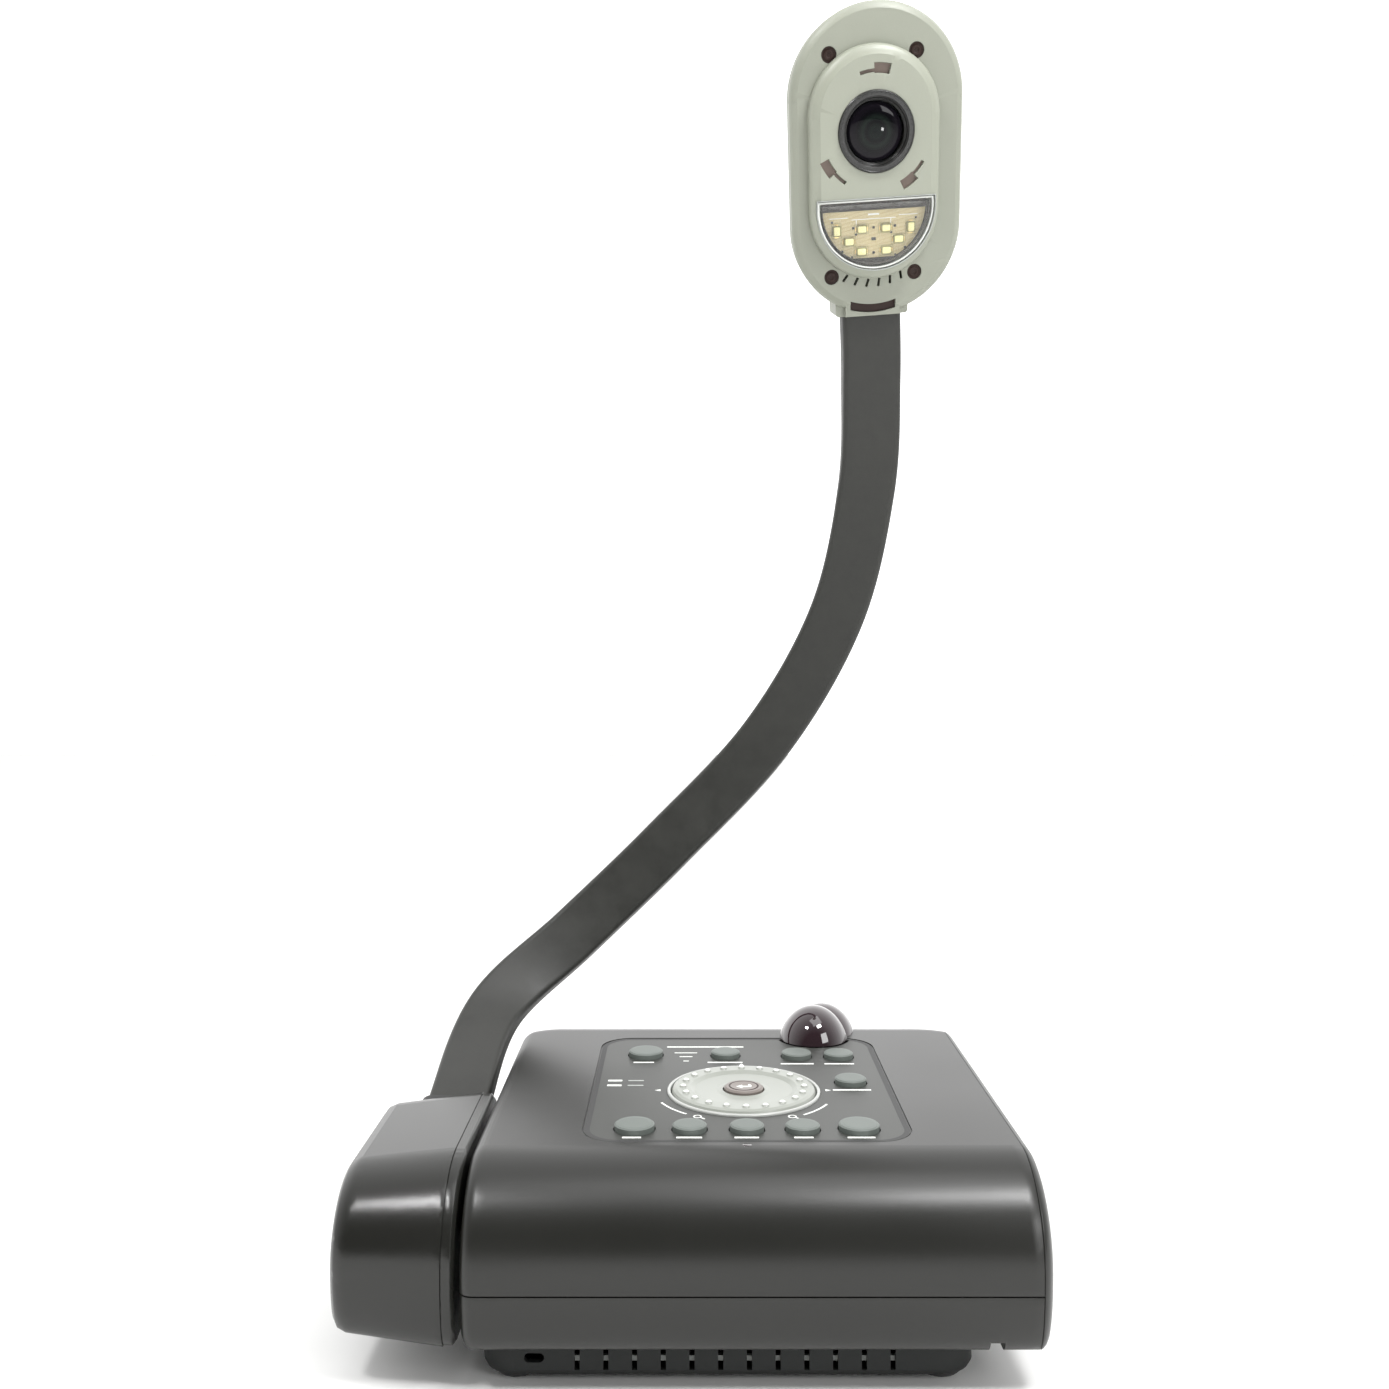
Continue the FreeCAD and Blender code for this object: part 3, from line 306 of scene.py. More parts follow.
class Parts:
    """Collects several small closed solids into one piece."""

    def __init__(self, to_row=lambda x, y, z: Vector((x, y, z)) * MM):
        self.verts, self.faces, self.to_row = [], [], to_row

    def rings(self, rings, closed=True):
        """Skin through equal rings of (x, y, z) points, with flat ends when closed."""
        start, count = len(self.verts), len(rings[0])
        for ring in rings:
            self.verts += [self.to_row(*p) for p in ring]
        for r in range(len(rings) - 1):
            for i in range(count):
                j = (i + 1) % count
                a = start + r * count
                self.faces.append((a + i, a + j, a + count + j, a + count + i))
        if closed:
            self.faces.append(tuple(start + i for i in range(count))[::-1])
            last = start + (len(rings) - 1) * count
            self.faces.append(tuple(last + i for i in range(count)))

    def slab(self, outline, z0, z1, round_off=0.0):
        """Prism on an outline of (x, y), its top edge rounded over by round_off."""
        cx = sum(p[0] for p in outline) / len(outline)
        cy = sum(p[1] for p in outline) / len(outline)
        size = max(sqrt((x - cx) ** 2 + (y - cy) ** 2) for x, y in outline)
        levels = [(z0, 0.0), (z1, 0.0)]
        if round_off:
            levels = [(z0, 0.0)]
            levels += [(z1 - round_off * (1 - sin(a)), round_off * (1 - cos(a)))
                       for a in (0.0, pi / 6, pi / 3, pi / 2)]
        rings = []
        for z, inset in levels:
            k = max(0.0, 1 - inset / size)
            rings.append([(cx + (x - cx) * k, cy + (y - cy) * k, z) for x, y in outline])
        self.rings(rings)

    def rim(self, outer, inner, z0, z1):
        """Raised frame between two outlines of equal count, open underneath."""
        levels = ((outer, z0), (outer, z1), (inner, z1), (inner, z0))
        self.rings([[(x, y, z) for x, y in outline] for outline, z in levels], closed=False)

    def turned(self, profile, x, y, sides=48):
        """Revolves a closed (r, z) profile about the vertical through (x, y)."""
        count, base = len(profile), len(self.verts)
        turns = [2 * pi * i / sides for i in range(sides)]
        self.rings([[(x + r * cos(a), y + r * sin(a), z) for r, z in profile] for a in turns], closed=False)
        last = base + (sides - 1) * count
        for i in range(count):
            j = (i + 1) % count
            self.faces.append((last + i, last + j, base + j, base + i))

    def done(self, name, material, body, slot, smooth=True, **more):
        return piece(name, self.verts, self.faces, material, body, slot, smooth, **more)


def circle(x, y, r, steps):
    """Outline of a circle of equal steps."""
    turns = [2 * pi * i / steps for i in range(steps)]
    return [(x + r * cos(a), y + r * sin(a)) for a in turns]


def rectangle(x0, x1, y0, y1, r=0.0, steps=4):
    """Outline of a rectangle with rounded corners."""
    if r <= 0:
        return [(x0, y0), (x1, y0), (x1, y1), (x0, y1)]
    out = []
    corners = ((x1 - r, y0 + r, -90), (x1 - r, y1 - r, 0), (x0 + r, y1 - r, 90), (x0 + r, y0 + r, 180))
    for cx, cy, a0 in corners:
        for i in range(steps + 1):
            a = radians(a0 + 90 * i / steps)
            out.append((cx + r * cos(a), cy + r * sin(a)))
    return out


def arc_band(x, y, r0, r1, a0, a1):
    """Outline of a flat arc between two radii and two angles in degrees."""
    angles = [radians(a0 + (a1 - a0) * i / ARC_STEPS) for i in range(ARC_STEPS + 1)]
    return ([(x + r1 * cos(a), y + r1 * sin(a)) for a in angles]
            + [(x + r0 * cos(a), y + r0 * sin(a)) for a in reversed(angles)])


def d_outline(r, cy, flat):
    """Disc of radius r about (0, cy) with its top cut off at y = flat."""
    rise = (flat - cy) / r
    corner = atan2(rise, sqrt(1 - rise * rise))
    a0, a1 = pi - corner, 2 * pi + corner
    turns = [a0 + (a1 - a0) * i / D_STEPS for i in range(D_STEPS + 1)]
    return [(r * cos(a), cy + r * sin(a)) for a in turns]


# ---------------------------------------------------------------- materials
SHELL = plastic("shell_charcoal", (0.011, 0.0111, 0.0094), 0.30, grain=4200.0, depth=0.000016, wear=0.04)
POD = plastic("pod_charcoal", (0.011, 0.0112, 0.0095), 0.22, grain=4200.0, depth=0.000016, wear=0.04)
PANEL = plastic("panel_film", (0.036, 0.038, 0.034), 0.42, grain=3000.0, depth=0.00002,
                blotch=0.06, wear=0.05)
KEY = plastic("key_green", (0.120, 0.137, 0.125), 0.46, grain=5200.0, blotch=0.07, wear=0.35)
WHEEL = plastic("wheel_ivory", (0.275, 0.288, 0.258), 0.34, blotch=0.05, wear=0.0, coat=0.25)
RING = plastic("ring_silver", (0.40, 0.41, 0.39), 0.30, blotch=0.05, wear=0.2, coat=0.3)
ENTER = plastic("enter_brown", (0.17, 0.145, 0.13), 0.34, blotch=0.06, wear=0.2)
PLINTH = plastic("plinth_slate", (0.024, 0.0256, 0.0250), 0.55, grain=2600.0, depth=0.00004,
                 wear=0.15, spec=0.2)
BLACK = plastic("black_nylon", (0.012, 0.011, 0.011), 0.36, wear=0.3)
BARREL = plastic("barrel_black", (0.014, 0.014, 0.013), 0.30, grain=6000.0, wear=0.5, coat=0.2)
HEAD = plastic("head_sage", (0.283, 0.296, 0.244), 0.42, grain=4600.0, depth=0.00003, blotch=0.05,
               wear=0.05)
BEZEL = plastic("bezel_sage", (0.308, 0.322, 0.264), 0.38, grain=4600.0, depth=0.00003,
                blotch=0.05, wear=0.05)
# brown standing in for the shaded interior seen through the lock slots: painted shade
SLOT_SHADE_BROWN = plastic("slot_painted_shade", (0.16, 0.12, 0.10), 0.5, wear=0.0)
PLUG = plastic("plug_brown", (0.028, 0.014, 0.011), 0.45, wear=0.1, spec=0.25)
SLEEVE = rubber("sleeve_rubber", (0.0145, 0.0148, 0.0122), 0.50)
FOOT = rubber("foot_rubber", (0.022, 0.022, 0.022), 0.62)
STEEL = metal("zinc_steel", (0.60, 0.60, 0.58), 0.32, (1, 1, 0.1))
NICKEL = metal("nickel_shell", (0.66, 0.65, 0.62), 0.26, (1, 0.1, 1))
CORE = metal("wound_steel", (0.45, 0.45, 0.44), 0.36, (0.2, 0.2, 6.0), 900.0)
GOLD = metal("gold_pad", (0.78, 0.58, 0.25), 0.28)
MAIN_BOARD = circuit_board("board_green", (0.020, 0.110, 0.050), (0.10, 0.26, 0.10))
LAMP_BOARD = circuit_board("lamp_board_cream", (0.60, 0.51, 0.27), (0.46, 0.34, 0.16), 420.0)
WHITE_INK = ink("white_ink", (0.86, 0.88, 0.84))
GREY_INK = ink("grey_ink", (0.40, 0.42, 0.40))
DARK_INK = ink("dark_ink", (0.05, 0.045, 0.04))
# ink a little darker than the panel: painted shade standing in for the recessed chamfer round the panel
CHAMFER_SHADE = ink("chamfer_shade_ink", (0.030, 0.030, 0.030))
OLIVE = plastic("lamp_case_olive", (0.25, 0.23, 0.07), 0.35, wear=0.1)
DOME = smoked_dome("smoked_dome")
CLEAR = clear_plastic("clear_window")
GEL = phosphor("lamp_phosphor")
BLUE = plastic("socket_blue", (0.025, 0.060, 0.19), 0.42)
MINT = plastic("jack_mint", (0.20, 0.42, 0.26), 0.42)
ROSE = plastic("jack_rose", (0.52, 0.22, 0.24), 0.42)

SKIN = {
    SHELL: ("upper_housing", "lower_housing", "side_cover"), POD: ("pod_shell", "pod_inner_cover"),
    PLINTH: ("vent_plinth",), FOOT: ("feet", "exit_collar"), PANEL: ("keypad_panel",),
    STEEL: ("ballast_plate", "housing_screws", "arm_anchor", "wheel_bearing"),
    MAIN_BOARD: ("main_board", "key_board", "image_board"), WHEEL: ("zoom_wheel",), RING: ("wheel_ring",),
    ENTER: ("enter_button",), DOME: ("ir_dome",),
    BLACK: ("ir_receiver", "audio_jacks", "dc_jack", "rear_panel", "key_switches"),
    BARREL: ("lens_barrel",), PLUG: ("head_plugs",), NICKEL: ("video_ports", "usb_ports"),
    HEAD: ("head_front_shell", "head_rear_shell", "neck_collar"), BEZEL: ("lens_bezel",),
    CLEAR: ("lamp_window",), LAMP_BOARD: ("lamp_board",), OLIVE: ("lamp_leds",),
    KEY: tuple(n for n in NODES if n.startswith("key_") and n not in ("key_board", "key_switches")),
    CORE: tuple(n for n in NODES if n.startswith("gooseneck_core")),
    SLEEVE: tuple(n for n in NODES if n.startswith("arm_sleeve")),
}
for material, names in SKIN.items():
    for node_name in names:
        mesh = NODES[node_name].data
        mesh.materials.clear()
        mesh.materials.append(material)

# edge rounds of the moulded nodes that show, in millimetres
ROUNDED = {
    "upper_housing": 0.5, "lower_housing": 0.5, "side_cover": 0.45, "vent_plinth": 0.4, "pod_shell": 0.4,
    "pod_inner_cover": 0.4, "keypad_panel": 0.15, "lens_bezel": 0.35, "neck_collar": 0.5,
    "exit_collar": 0.8, "rear_panel": 0.2, "video_ports": 0.15, "audio_jacks": 0.2, "head_front_shell": 0.3,
    "head_rear_shell": 0.3, "wheel_ring": 0.12, "lens_barrel": 0.15, "lamp_window": 0.25,
}
for node_name, width in ROUNDED.items():
    weld = NODES[node_name].modifiers.new("weld", "WELD")
    weld.merge_threshold = 1e-6
    soften(NODES[node_name], width * MM, 2, 40)

# ---------------------------------------------------------------- head frame
NECK = Vector((78.7, 30.0, 403.2))
HEAD_YAW, HEAD_DIP, HEAD_ROLL = radians(7.0), radians(22.5), radians(5.8)
HEAD_FORWARD = Vector((sin(HEAD_YAW) * cos(HEAD_DIP), -cos(HEAD_YAW) * cos(HEAD_DIP), -sin(HEAD_DIP)))
HEAD_UP = (Vector((0, 0, 1)) - HEAD_FORWARD * HEAD_FORWARD.z).normalized()
HEAD_UP = Quaternion(HEAD_FORWARD, HEAD_ROLL) @ HEAD_UP
HEAD_RIGHT = HEAD_UP.cross(HEAD_FORWARD)


def head(x, y, z):
    """Point of the head, in millimetres to its right, up and front, in the row frame."""
    return (NECK + HEAD_RIGHT * x + HEAD_UP * y + HEAD_FORWARD * z) * MM


# ---------------------------------------------------------------- arm sleeve
ARM_POINTS = [Vector(p) for p in (
    (-99.0, -30.0, 34.0), (-99.0, -8.0, 46.0), (-99.0, 22.0, 64.0), (-91.0, 72.0, 90.0),
    (-56.0, 97.0, 120.0), (-12.0, 102.0, 162.0), (36.0, 97.0, 214.0), (68.0, 82.0, 272.0),
    (80.0, 64.0, 330.0), (80.0, 47.6, 377.8))]
ARM_POINTS += [head(0, 14.0, -7.6) / MM, head(0, 59.0, -7.6) / MM]
FACING = [(0.0, Vector((0.0, -0.6, 0.8))), (0.3, Vector((-0.1, -1.0, 0.25))),
          (0.75, Vector((-0.1, -1.0, 0.0))), (0.97, HEAD_FORWARD), (2.0, HEAD_FORWARD)]
ARM_HALF_W, ARM_HALF_T, ARM_CORNER = 13.0, 5.0, 2.6
LINE_STEPS = 24
HINGE_AT = (92.0, 166.0, 240.0, 314.0, 392.0)
RING_STEP = 2.5


def arm_line():
    """Smooth line through the arm's points, and the distance along it at each of its points."""
    line = []
    for a, b, c, d in zip(ARM_POINTS, ARM_POINTS[1:], ARM_POINTS[2:], ARM_POINTS[3:]):
        for k in range(LINE_STEPS):
            t = k / LINE_STEPS
            line.append((b * 2 + (c - a) * t + (a * 2 - b * 5 + c * 4 - d) * t ** 2
                         + (b * 3 - a - c * 3 + d) * t ** 3) * 0.5)
    line.append(ARM_POINTS[-2])
    lengths = [0.0]
    for a, b in zip(line, line[1:]):
        lengths.append(lengths[-1] + (b - a).length)
    return line, lengths


LINE, LENGTHS = arm_line()
ARM_LENGTH = LENGTHS[-1]


def arm_point(s):
    s = min(max(s, 0.0), ARM_LENGTH)
    i = 0
    while i < len(LENGTHS) - 2 and LENGTHS[i + 1] < s:
        i += 1
    return LINE[i].lerp(LINE[i + 1], (s - LENGTHS[i]) / (LENGTHS[i + 1] - LENGTHS[i]))


def arm_axes(s):
    """Along, across and facing directions of the sleeve at distance s."""
    along = (arm_point(s + 4) - arm_point(s - 4)).normalized()
    share, facing = s / ARM_LENGTH, FACING[0][1]
    for (s0, way0), (s1, way1) in zip(FACING, FACING[1:]):
        if s0 <= share <= s1:
            t = (share - s0) / (s1 - s0)
            facing = way0.lerp(way1, t * t * (3 - 2 * t))
    face = (facing - along * facing.dot(along)).normalized()
    return along, along.cross(face), face


def sleeve_section():
    """Rounded band section with a shallow moulding line just inside each front and back edge."""
    outline = rectangle(-ARM_HALF_W, ARM_HALF_W, -ARM_HALF_T, ARM_HALF_T, ARM_CORNER, 6)
    dense = []
    for (x0, y0), (x1, y1) in zip(outline, outline[1:] + outline[:1]):
        n = max(1, int(max(abs(x1 - x0), abs(y1 - y0)) / 1.3))
        dense += [(x0 + (x1 - x0) * k / n, y0 + (y1 - y0) * k / n) for k in range(n)]
    shaped = []
    for x, y in dense:
        if abs(y) > ARM_HALF_T - 0.05:
            y *= 1 - 0.035 * (abs(x) / ARM_HALF_W) ** 4
        shaped.append((x, y))
    return shaped


SECTION = sleeve_section()
MIDDLES = [0.5 * (a + b) for a, b in zip(HINGE_AT, HINGE_AT[1:])]
SPANS = list(zip([0.5] + MIDDLES, MIDDLES + [ARM_LENGTH - 0.5]))


def ring_stations():
    """Distances of the tube's rings along the arm, and the first and last ring of each piece."""
    stations, ranges = [], []
    for s0, s1 in SPANS:
        count = int(round((s1 - s0) / RING_STEP))
        first = len(stations) - 1 if stations else 0
        for i in range(1 if stations else 0, count + 1):
            stations.append(s0 + (s1 - s0) * i / count)
        ranges.append((first, len(stations)))
    return stations, ranges


def sleeve_ring(s):
    """Section of the sleeve at distance s along the arm."""
    _, across, face = arm_axes(s)
    return [(arm_point(s) + across * x + face * y) * MM for x, y in SECTION]


def tube_surface(rings):
    """Faces and outward point normals of one tube through all rings."""
    n = len(SECTION)
    faces = [(r * n + i, r * n + (i + 1) % n, (r + 1) * n + (i + 1) % n, (r + 1) * n + i)
             for r in range(len(rings) - 1) for i in range(n)]
    tube = bpy.data.meshes.new("tube_for_normals")
    tube.from_pydata([tuple(v) for ring in rings for v in ring], [], faces)
    tube.update()
    normals = [v.normal.copy() for v in tube.vertices]
    bpy.data.meshes.remove(tube)
    middle = len(rings) // 2
    centre = sum(rings[middle], Vector()) / n
    if normals[middle * n].dot(rings[middle][0] - centre) < 0:
        faces = [face[::-1] for face in faces]
        normals = [-normal for normal in normals]
    return faces, normals


def arm_sleeves():
    """Five pieces of one tube, each spanning one hinge."""
    stations, ranges = ring_stations()
    rings = [sleeve_ring(s) for s in stations]
    tube_faces, tube_normals = tube_surface(rings)
    n = len(SECTION)
    for j, (first, last) in enumerate(ranges):
        faces = [tuple(v - first * n for v in face) for face in tube_faces[first * n:(last - 1) * n]]
        mesh = bpy.data.meshes.new("sleeve_bend_%d" % (j + 1))
        mesh.from_pydata([tuple(v) for ring in rings[first:last] for v in ring], [], faces)
        mesh.update()
        mesh.materials.append(SLEEVE)
        mesh.polygons.foreach_set("use_smooth", [True] * len(mesh.polygons))
        mesh.normals_split_custom_set_from_vertices(tube_normals[first * n:last * n])
        sleeve = bpy.data.objects.new("sleeve_bend_%d" % (j + 1), mesh)
        bpy.context.scene.collection.objects.link(sleeve)
        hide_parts(*(["arm_sleeve_%d" % (j + 1)] + (["arm_sleeve_6"] if j == 4 else [])))
        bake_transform(sleeve)


# ---------------------------------------------------------------- head details
LENS_Y, LENS_R, LENS_RIM_Z, LENS_DOME = 73.0, 11.9, 2.0, 3.3
WINDOW_Y, WINDOW_R, WINDOW_FLAT = 43.6, 25.4, 47.4
BOARD_FACE = 0.78
BEZEL_FACE, SLOT_DEPTH = 6.0, 1.6
LED_SPOTS = ((-16.0, 34.6, 90), (16.0, 34.6, 90), (-5.2, 34.8, 0), (5.2, 34.8, 0),
             (-10.7, 30.0, 0), (10.7, 30.0, 0), (-5.4, 25.7, 0), (5.4, 25.7, 0))
PLUG_SPOTS = ((-18.1, 102.8), (18.1, 102.8), (-18.1, 15.8), (18.1, 15.8))
# angles of each lock slot's block and of its narrow arc
SLOT_ANGLES = ((84, 99), (213, 228), (305, 320))


def window_line(gap):
    """Outline of the lamp window, moved inward by gap."""
    return d_outline(WINDOW_R - gap, WINDOW_Y, WINDOW_FLAT - gap)


def lens():
    """Domed front element, thin retaining rings and the fine teeth of the barrel's rim."""
    glass = Parts(head)
    profile = [(LENS_R, 1.1)]
    profile += [(LENS_R * cos(radians(a)), LENS_RIM_Z + LENS_DOME * sin(radians(a))) for a in range(0, 90, 6)]
    profile.append((0.15, LENS_RIM_Z + LENS_DOME))
    glass.rings([[(x, y, z) for x, y in circle(0, LENS_Y, r, 72)] for r, z in profile])
    ring_painted_glass = lens_glass_painted_rings("lens_glass_painted_rings", tuple(head(0, LENS_Y, 5.0)))
    glass.done("lens_front_element", ring_painted_glass, "head", "lens_glass", replaces=("lens_glass",))

    retainers = Parts(head)
    for r, z, thick in ((15.45, 6.62, 0.28), (13.35, 5.6, 0.22), (12.75, 4.7, 0.20), (12.35, 4.1, 0.18)):
        retainers.turned(circle(r, z, thick, 10), 0, LENS_Y, 96)
    retainers.done("lens_retaining_rings", BARREL, "head", "black_plastic")

    teeth = Parts(head)
    tooth = ((-0.030, 14.2), (0.030, 14.2), (0.026, 15.0), (-0.026, 15.0))
    for i in range(48):
        a = 2 * pi * i / 48
        teeth.slab([(r * cos(a + da), LENS_Y + r * sin(a + da)) for da, r in tooth], 5.9, 6.68, 0.12)
    teeth.done("lens_rim_teeth", BARREL, "head", "black_plastic")


def lamp_window_trim():
    """Gasket, two inner ribs that paint the light band and the dark edge line of the clear rim, top lugs of
    the clear window, and the dark well behind it.
    """
    gasket = Parts(head)
    outer, inner = window_line(-0.05), window_line(0.30)
    levels = ((outer, 6.0), (outer, 6.5), (inner, 6.5), (inner, 5.9))
    gasket.rings([[(x, y, z) for x, y in outline] for outline, z in levels], closed=False)
    gasket.done("window_gasket", GREY_INK, "head", "black_plastic")

    # white rib: painted light of the clear rim; dark rib: painted shade line at the rim's inner edge
    painted_rim_bands = (("light", WHITE_INK, 0.75, 1.35, 3.4, 5.2), ("dark", DARK_INK, 2.35, 2.75, 2.0, 4.9))
    for tag, paint, gap0, gap1, z0, z1 in painted_rim_bands:
        rib = Parts(head)
        rib.rim(window_line(gap0), window_line(gap1), z0, z1)
        rib.done("window_rim_paint_" + tag, paint, "head", "window_clear", smooth=False)

    lugs = Parts(head)
    for x0, x1 in ((-7.6, -1.6), (-0.9, 6.8), (8.6, 19.5), (-20.0, -9.4)):
        lugs.slab(rectangle(x0, x1, 43.6, 45.2, 0.3), 3.0, 5.0, 0.2)
    lugs.done("window_top_lugs", CLEAR, "head", "window_clear")

    well = Parts(head)
    well.slab(window_line(1.4), -2.1, -1.2)
    well.done("lamp_well", PLUG, "head", "black_plastic", smooth=False)


def lamps():
    """Gel, solder pads and printed outline of each lamp."""
    gels, pads, frames = Parts(head), Parts(head), Parts(head)
    for x, y, turn in LED_SPOTS:
        c, s = cos(radians(turn)), sin(radians(turn))

        def place(outline):
            return [(x + u * c - v * s, y + u * s + v * c) for u, v in outline]
        gels.slab(place(rectangle(-1.8, 1.8, -1.3, 1.3, 0.55)), 1.6, 2.35, 0.25)
        for side in (-2.45, 2.45):
            pads.slab(place(rectangle(side - 0.35, side + 0.35, -0.9, 0.9, 0.15)), BOARD_FACE, 0.95, 0.05)
        outer, inner = rectangle(-3.1, 3.1, -2.1, 2.1, 0.3), rectangle(-2.95, 2.95, -1.95, 1.95, 0.25)
        frames.rim(place(outer), place(inner), BOARD_FACE, BOARD_FACE + 0.06)
    gels.done("lamp_gels", GEL, "head", "led_yellow")
    pads.done("lamp_pads", GOLD, "head", "connector_metal")
    frames.done("lamp_outlines", OLIVE, "head", "black_plastic", smooth=False)


def lamp_board_parts():
    """Small chips, as (x, y, half width, half height), and printed marks on the lamp board."""
    chips = Parts(head)
    for x, y, w, h in ((0.0, 30.6, 0.9, 0.6), (-8.8, 35.4, 0.5, 0.5), (9.2, 35.4, 0.5, 0.5),
                       (0.0, 35.2, 0.45, 0.45), (-13.6, 26.2, 0.45, 0.5), (13.6, 26.4, 0.45, 0.5),
                       (-17.9, 38.2, 0.45, 0.45), (18.2, 38.2, 0.45, 0.45), (0.0, 25.0, 0.5, 0.5),
                       (7.6, 32.8, 0.4, 0.4), (-7.6, 32.8, 0.4, 0.4), (-9.4, 23.6, 0.4, 0.4),
                       (9.4, 23.6, 0.4, 0.4)):
        chips.slab(rectangle(x - w, x + w, y - h, y + h, 0.12), BOARD_FACE, 1.25, 0.1)
    chips.done("lamp_board_chips", BLACK, "head", "black_plastic")

    marks = Parts(head)
    for x0, x1, y0, y1 in ((-9.5, 9.5, 38.6, 38.9), (-19.0, -11.0, 39.5, 39.8), (11.0, 19.0, 39.5, 39.8),
                           (-2.4, 2.4, 40.2, 40.9), (-7.6, -7.3, 36.6, 38.6), (7.3, 7.6, 36.6, 38.6)):
        marks.slab(rectangle(x0, x1, y0, y1), BOARD_FACE, BOARD_FACE + 0.05)
    marks.done("lamp_board_marks", WHITE_INK, "head", "lamp_board_cream", smooth=False)


def head_trim():
    """Rings in the screw plugs, the floors of the lock slots, painted brown as the shade inside them, and the
    floor of the wide slot.
    """
    plugs = Parts(head)
    for x, y in PLUG_SPOTS:
        plugs.turned([(0.9, -1.1), (2.2, -1.1), (2.5, -0.95), (2.5, -0.75), (1.9, -0.45), (1.0, -0.38),
                      (0.9, -0.6)], x, y, 40)
    plugs.done("head_plug_rings", PLUG, "head", "black_plastic")

    # the lock slot floors are painted shade, shallow sheets where the slots open into the shaded interior
    shaded_floors = Parts(head)
    floor_z = BEZEL_FACE - SLOT_DEPTH
    for block, arc in SLOT_ANGLES:
        shaded_floors.slab(arc_band(0, LENS_Y, 22.1, 25.9, block - 7.7, block + 7.7), floor_z + 0.02, floor_z + 0.1)
        shaded_floors.slab(arc_band(0, LENS_Y, 22.5, 23.7, arc - 7.4, arc + 7.7), floor_z + 0.02, floor_z + 0.1)
    shaded_floors.done("adapter_slot_painted_shade", SLOT_SHADE_BROWN, "head", "black_plastic", smooth=False)

    wide = Parts(head)
    wide.slab([(x * 1.06, y) for x, y in arc_band(0, 35.5, 31.4, 36.0, -108, -72)], -3.4, -1.7)
    wide.done("wide_slot_floor", PLUG, "head", "black_plastic", smooth=False)


# ---------------------------------------------------------------- base controls
# first x, last x, first y and last y of the keypad panel
PANEL_EDGES, PANEL_CORNER = (-41.0, 82.0, -65.0, 68.0), 14.0
PRINT_LOW, PRINT_HIGH = 76.83, 76.885
DIAL_X, DIAL_Y = 21.0, -7.0
GRIP_COUNT, GRIP_R = 20, 24.6
# bars under the keys: (first x, last x, y)
KEY_BARS = ((-25.7, -18.7, -59.9), (-5.8, 3.7, -59.9), (15.6, 24.6, -59.9), (37.5, 44.6, -59.9),
            (57.1, 67.3, -59.9), (-25.5, -16.5, 31.0), (6.8, 22.0, 31.0), (38.5, 52.8, 29.0),
            (57.4, 70.3, 29.0), (57.4, 73.0, -6.0))
# light bar behind the plinth's slots: first and last x, y and z
VENT_BAR = (-46.0, 76.0, -82.9, -81.4, 7.2, 9.0)


def mark(parts, outline):
    parts.slab(outline, PRINT_LOW, PRINT_HIGH)


def panel_print():
    """Plain bars, arrows and arcs in place of the legends."""
    white, grey = Parts(), Parts()
    for x0, x1, y in KEY_BARS:
        mark(white, rectangle(x0, x1, y - 0.75, y + 0.75, 0.3))
    mark(white, rectangle(-11.3, 23.3, 53.2, 54.8, 0.5))
    for x0, x1, y in ((-7.8, 2.3, 45.0), (-5.5, 0.2, 39.3), (-3.8, -1.3, 33.0)):
        mark(white, rectangle(x0, x1, y - 0.5, y + 0.5, 0.3))
    for y in (6.0, -0.2):
        mark(white, rectangle(-34.9, -29.0, y - 1.0, y + 1.0, 0.3))
        mark(grey, rectangle(-26.5, -20.0, y - 0.6, y + 0.6, 0.3))
    pointer = ((1.5, 0.0), (-0.9, 1.2), (-0.9, -1.2))
    for x, y, turn in ((-13.7, -6.4, 180), (55.2, -6.4, 0), (21.4, 27.6, 90)):
        c, s = cos(radians(turn)), sin(radians(turn))
        mark(white, [(x + u * c - v * s, y + u * s + v * c) for u, v in pointer])
    for a0, a1 in ((203.6, 230.0), (-52.4, -26.8)):
        mark(white, arc_band(DIAL_X, DIAL_Y, 35.6, 36.5, a0, a1))
    for x, y in ((2.1, -37.5), (38.5, -37.5)):
        white.rim(circle(x, y, 1.7, 24), circle(x, y, 1.15, 24), PRINT_LOW, PRINT_HIGH)
        mark(white, [(x + 1.1, y - 1.5), (x + 1.6, y - 1.0), (x + 3.0, y - 2.5), (x + 2.5, y - 3.0)])
    white.done("panel_print_white", WHITE_INK, "base", "panel_grey", smooth=False)
    grey.done("panel_print_grey", GREY_INK, "base", "panel_grey", smooth=False)


def panel_line(along, across):
    """Outline of the panel, moved inward by along in X and by across in Y."""
    x0, x1, y0, y1 = PANEL_EDGES
    return rectangle(x0 + along, x1 - along, y0 + across, y1 - across, PANEL_CORNER - across, 10)


def panel_edges():
    """Shadow gap round the panel, a darker ring inside it that is painted shade of a recessed chamfer, and
    the small light in front of it.
    """
    groove = Parts()
    groove.rim(panel_line(0.02, 0.02), panel_line(0.48, 0.48), 76.1, 76.5)
    groove.done("panel_shadow_gap", BLACK, "base", "black_plastic", smooth=False)

    # darker printed ring: painted shade of a recessed chamfer that the panel itself doesn't have
    chamfer_paint = Parts()
    chamfer_paint.rim(panel_line(0.7, 0.7), panel_line(2.8, 2.6), PRINT_LOW, PRINT_HIGH)
    chamfer_paint.done("panel_chamfer_shade_paint", CHAMFER_SHADE, "base", "panel_grey", smooth=False)

    light = Parts()
    light.slab(rectangle(18.2, 21.6, -68.9, -66.4, 1.0), 76.3, 77.04, 0.15)
    light.done("front_light_lens", DOME, "base", "dome_smoke")


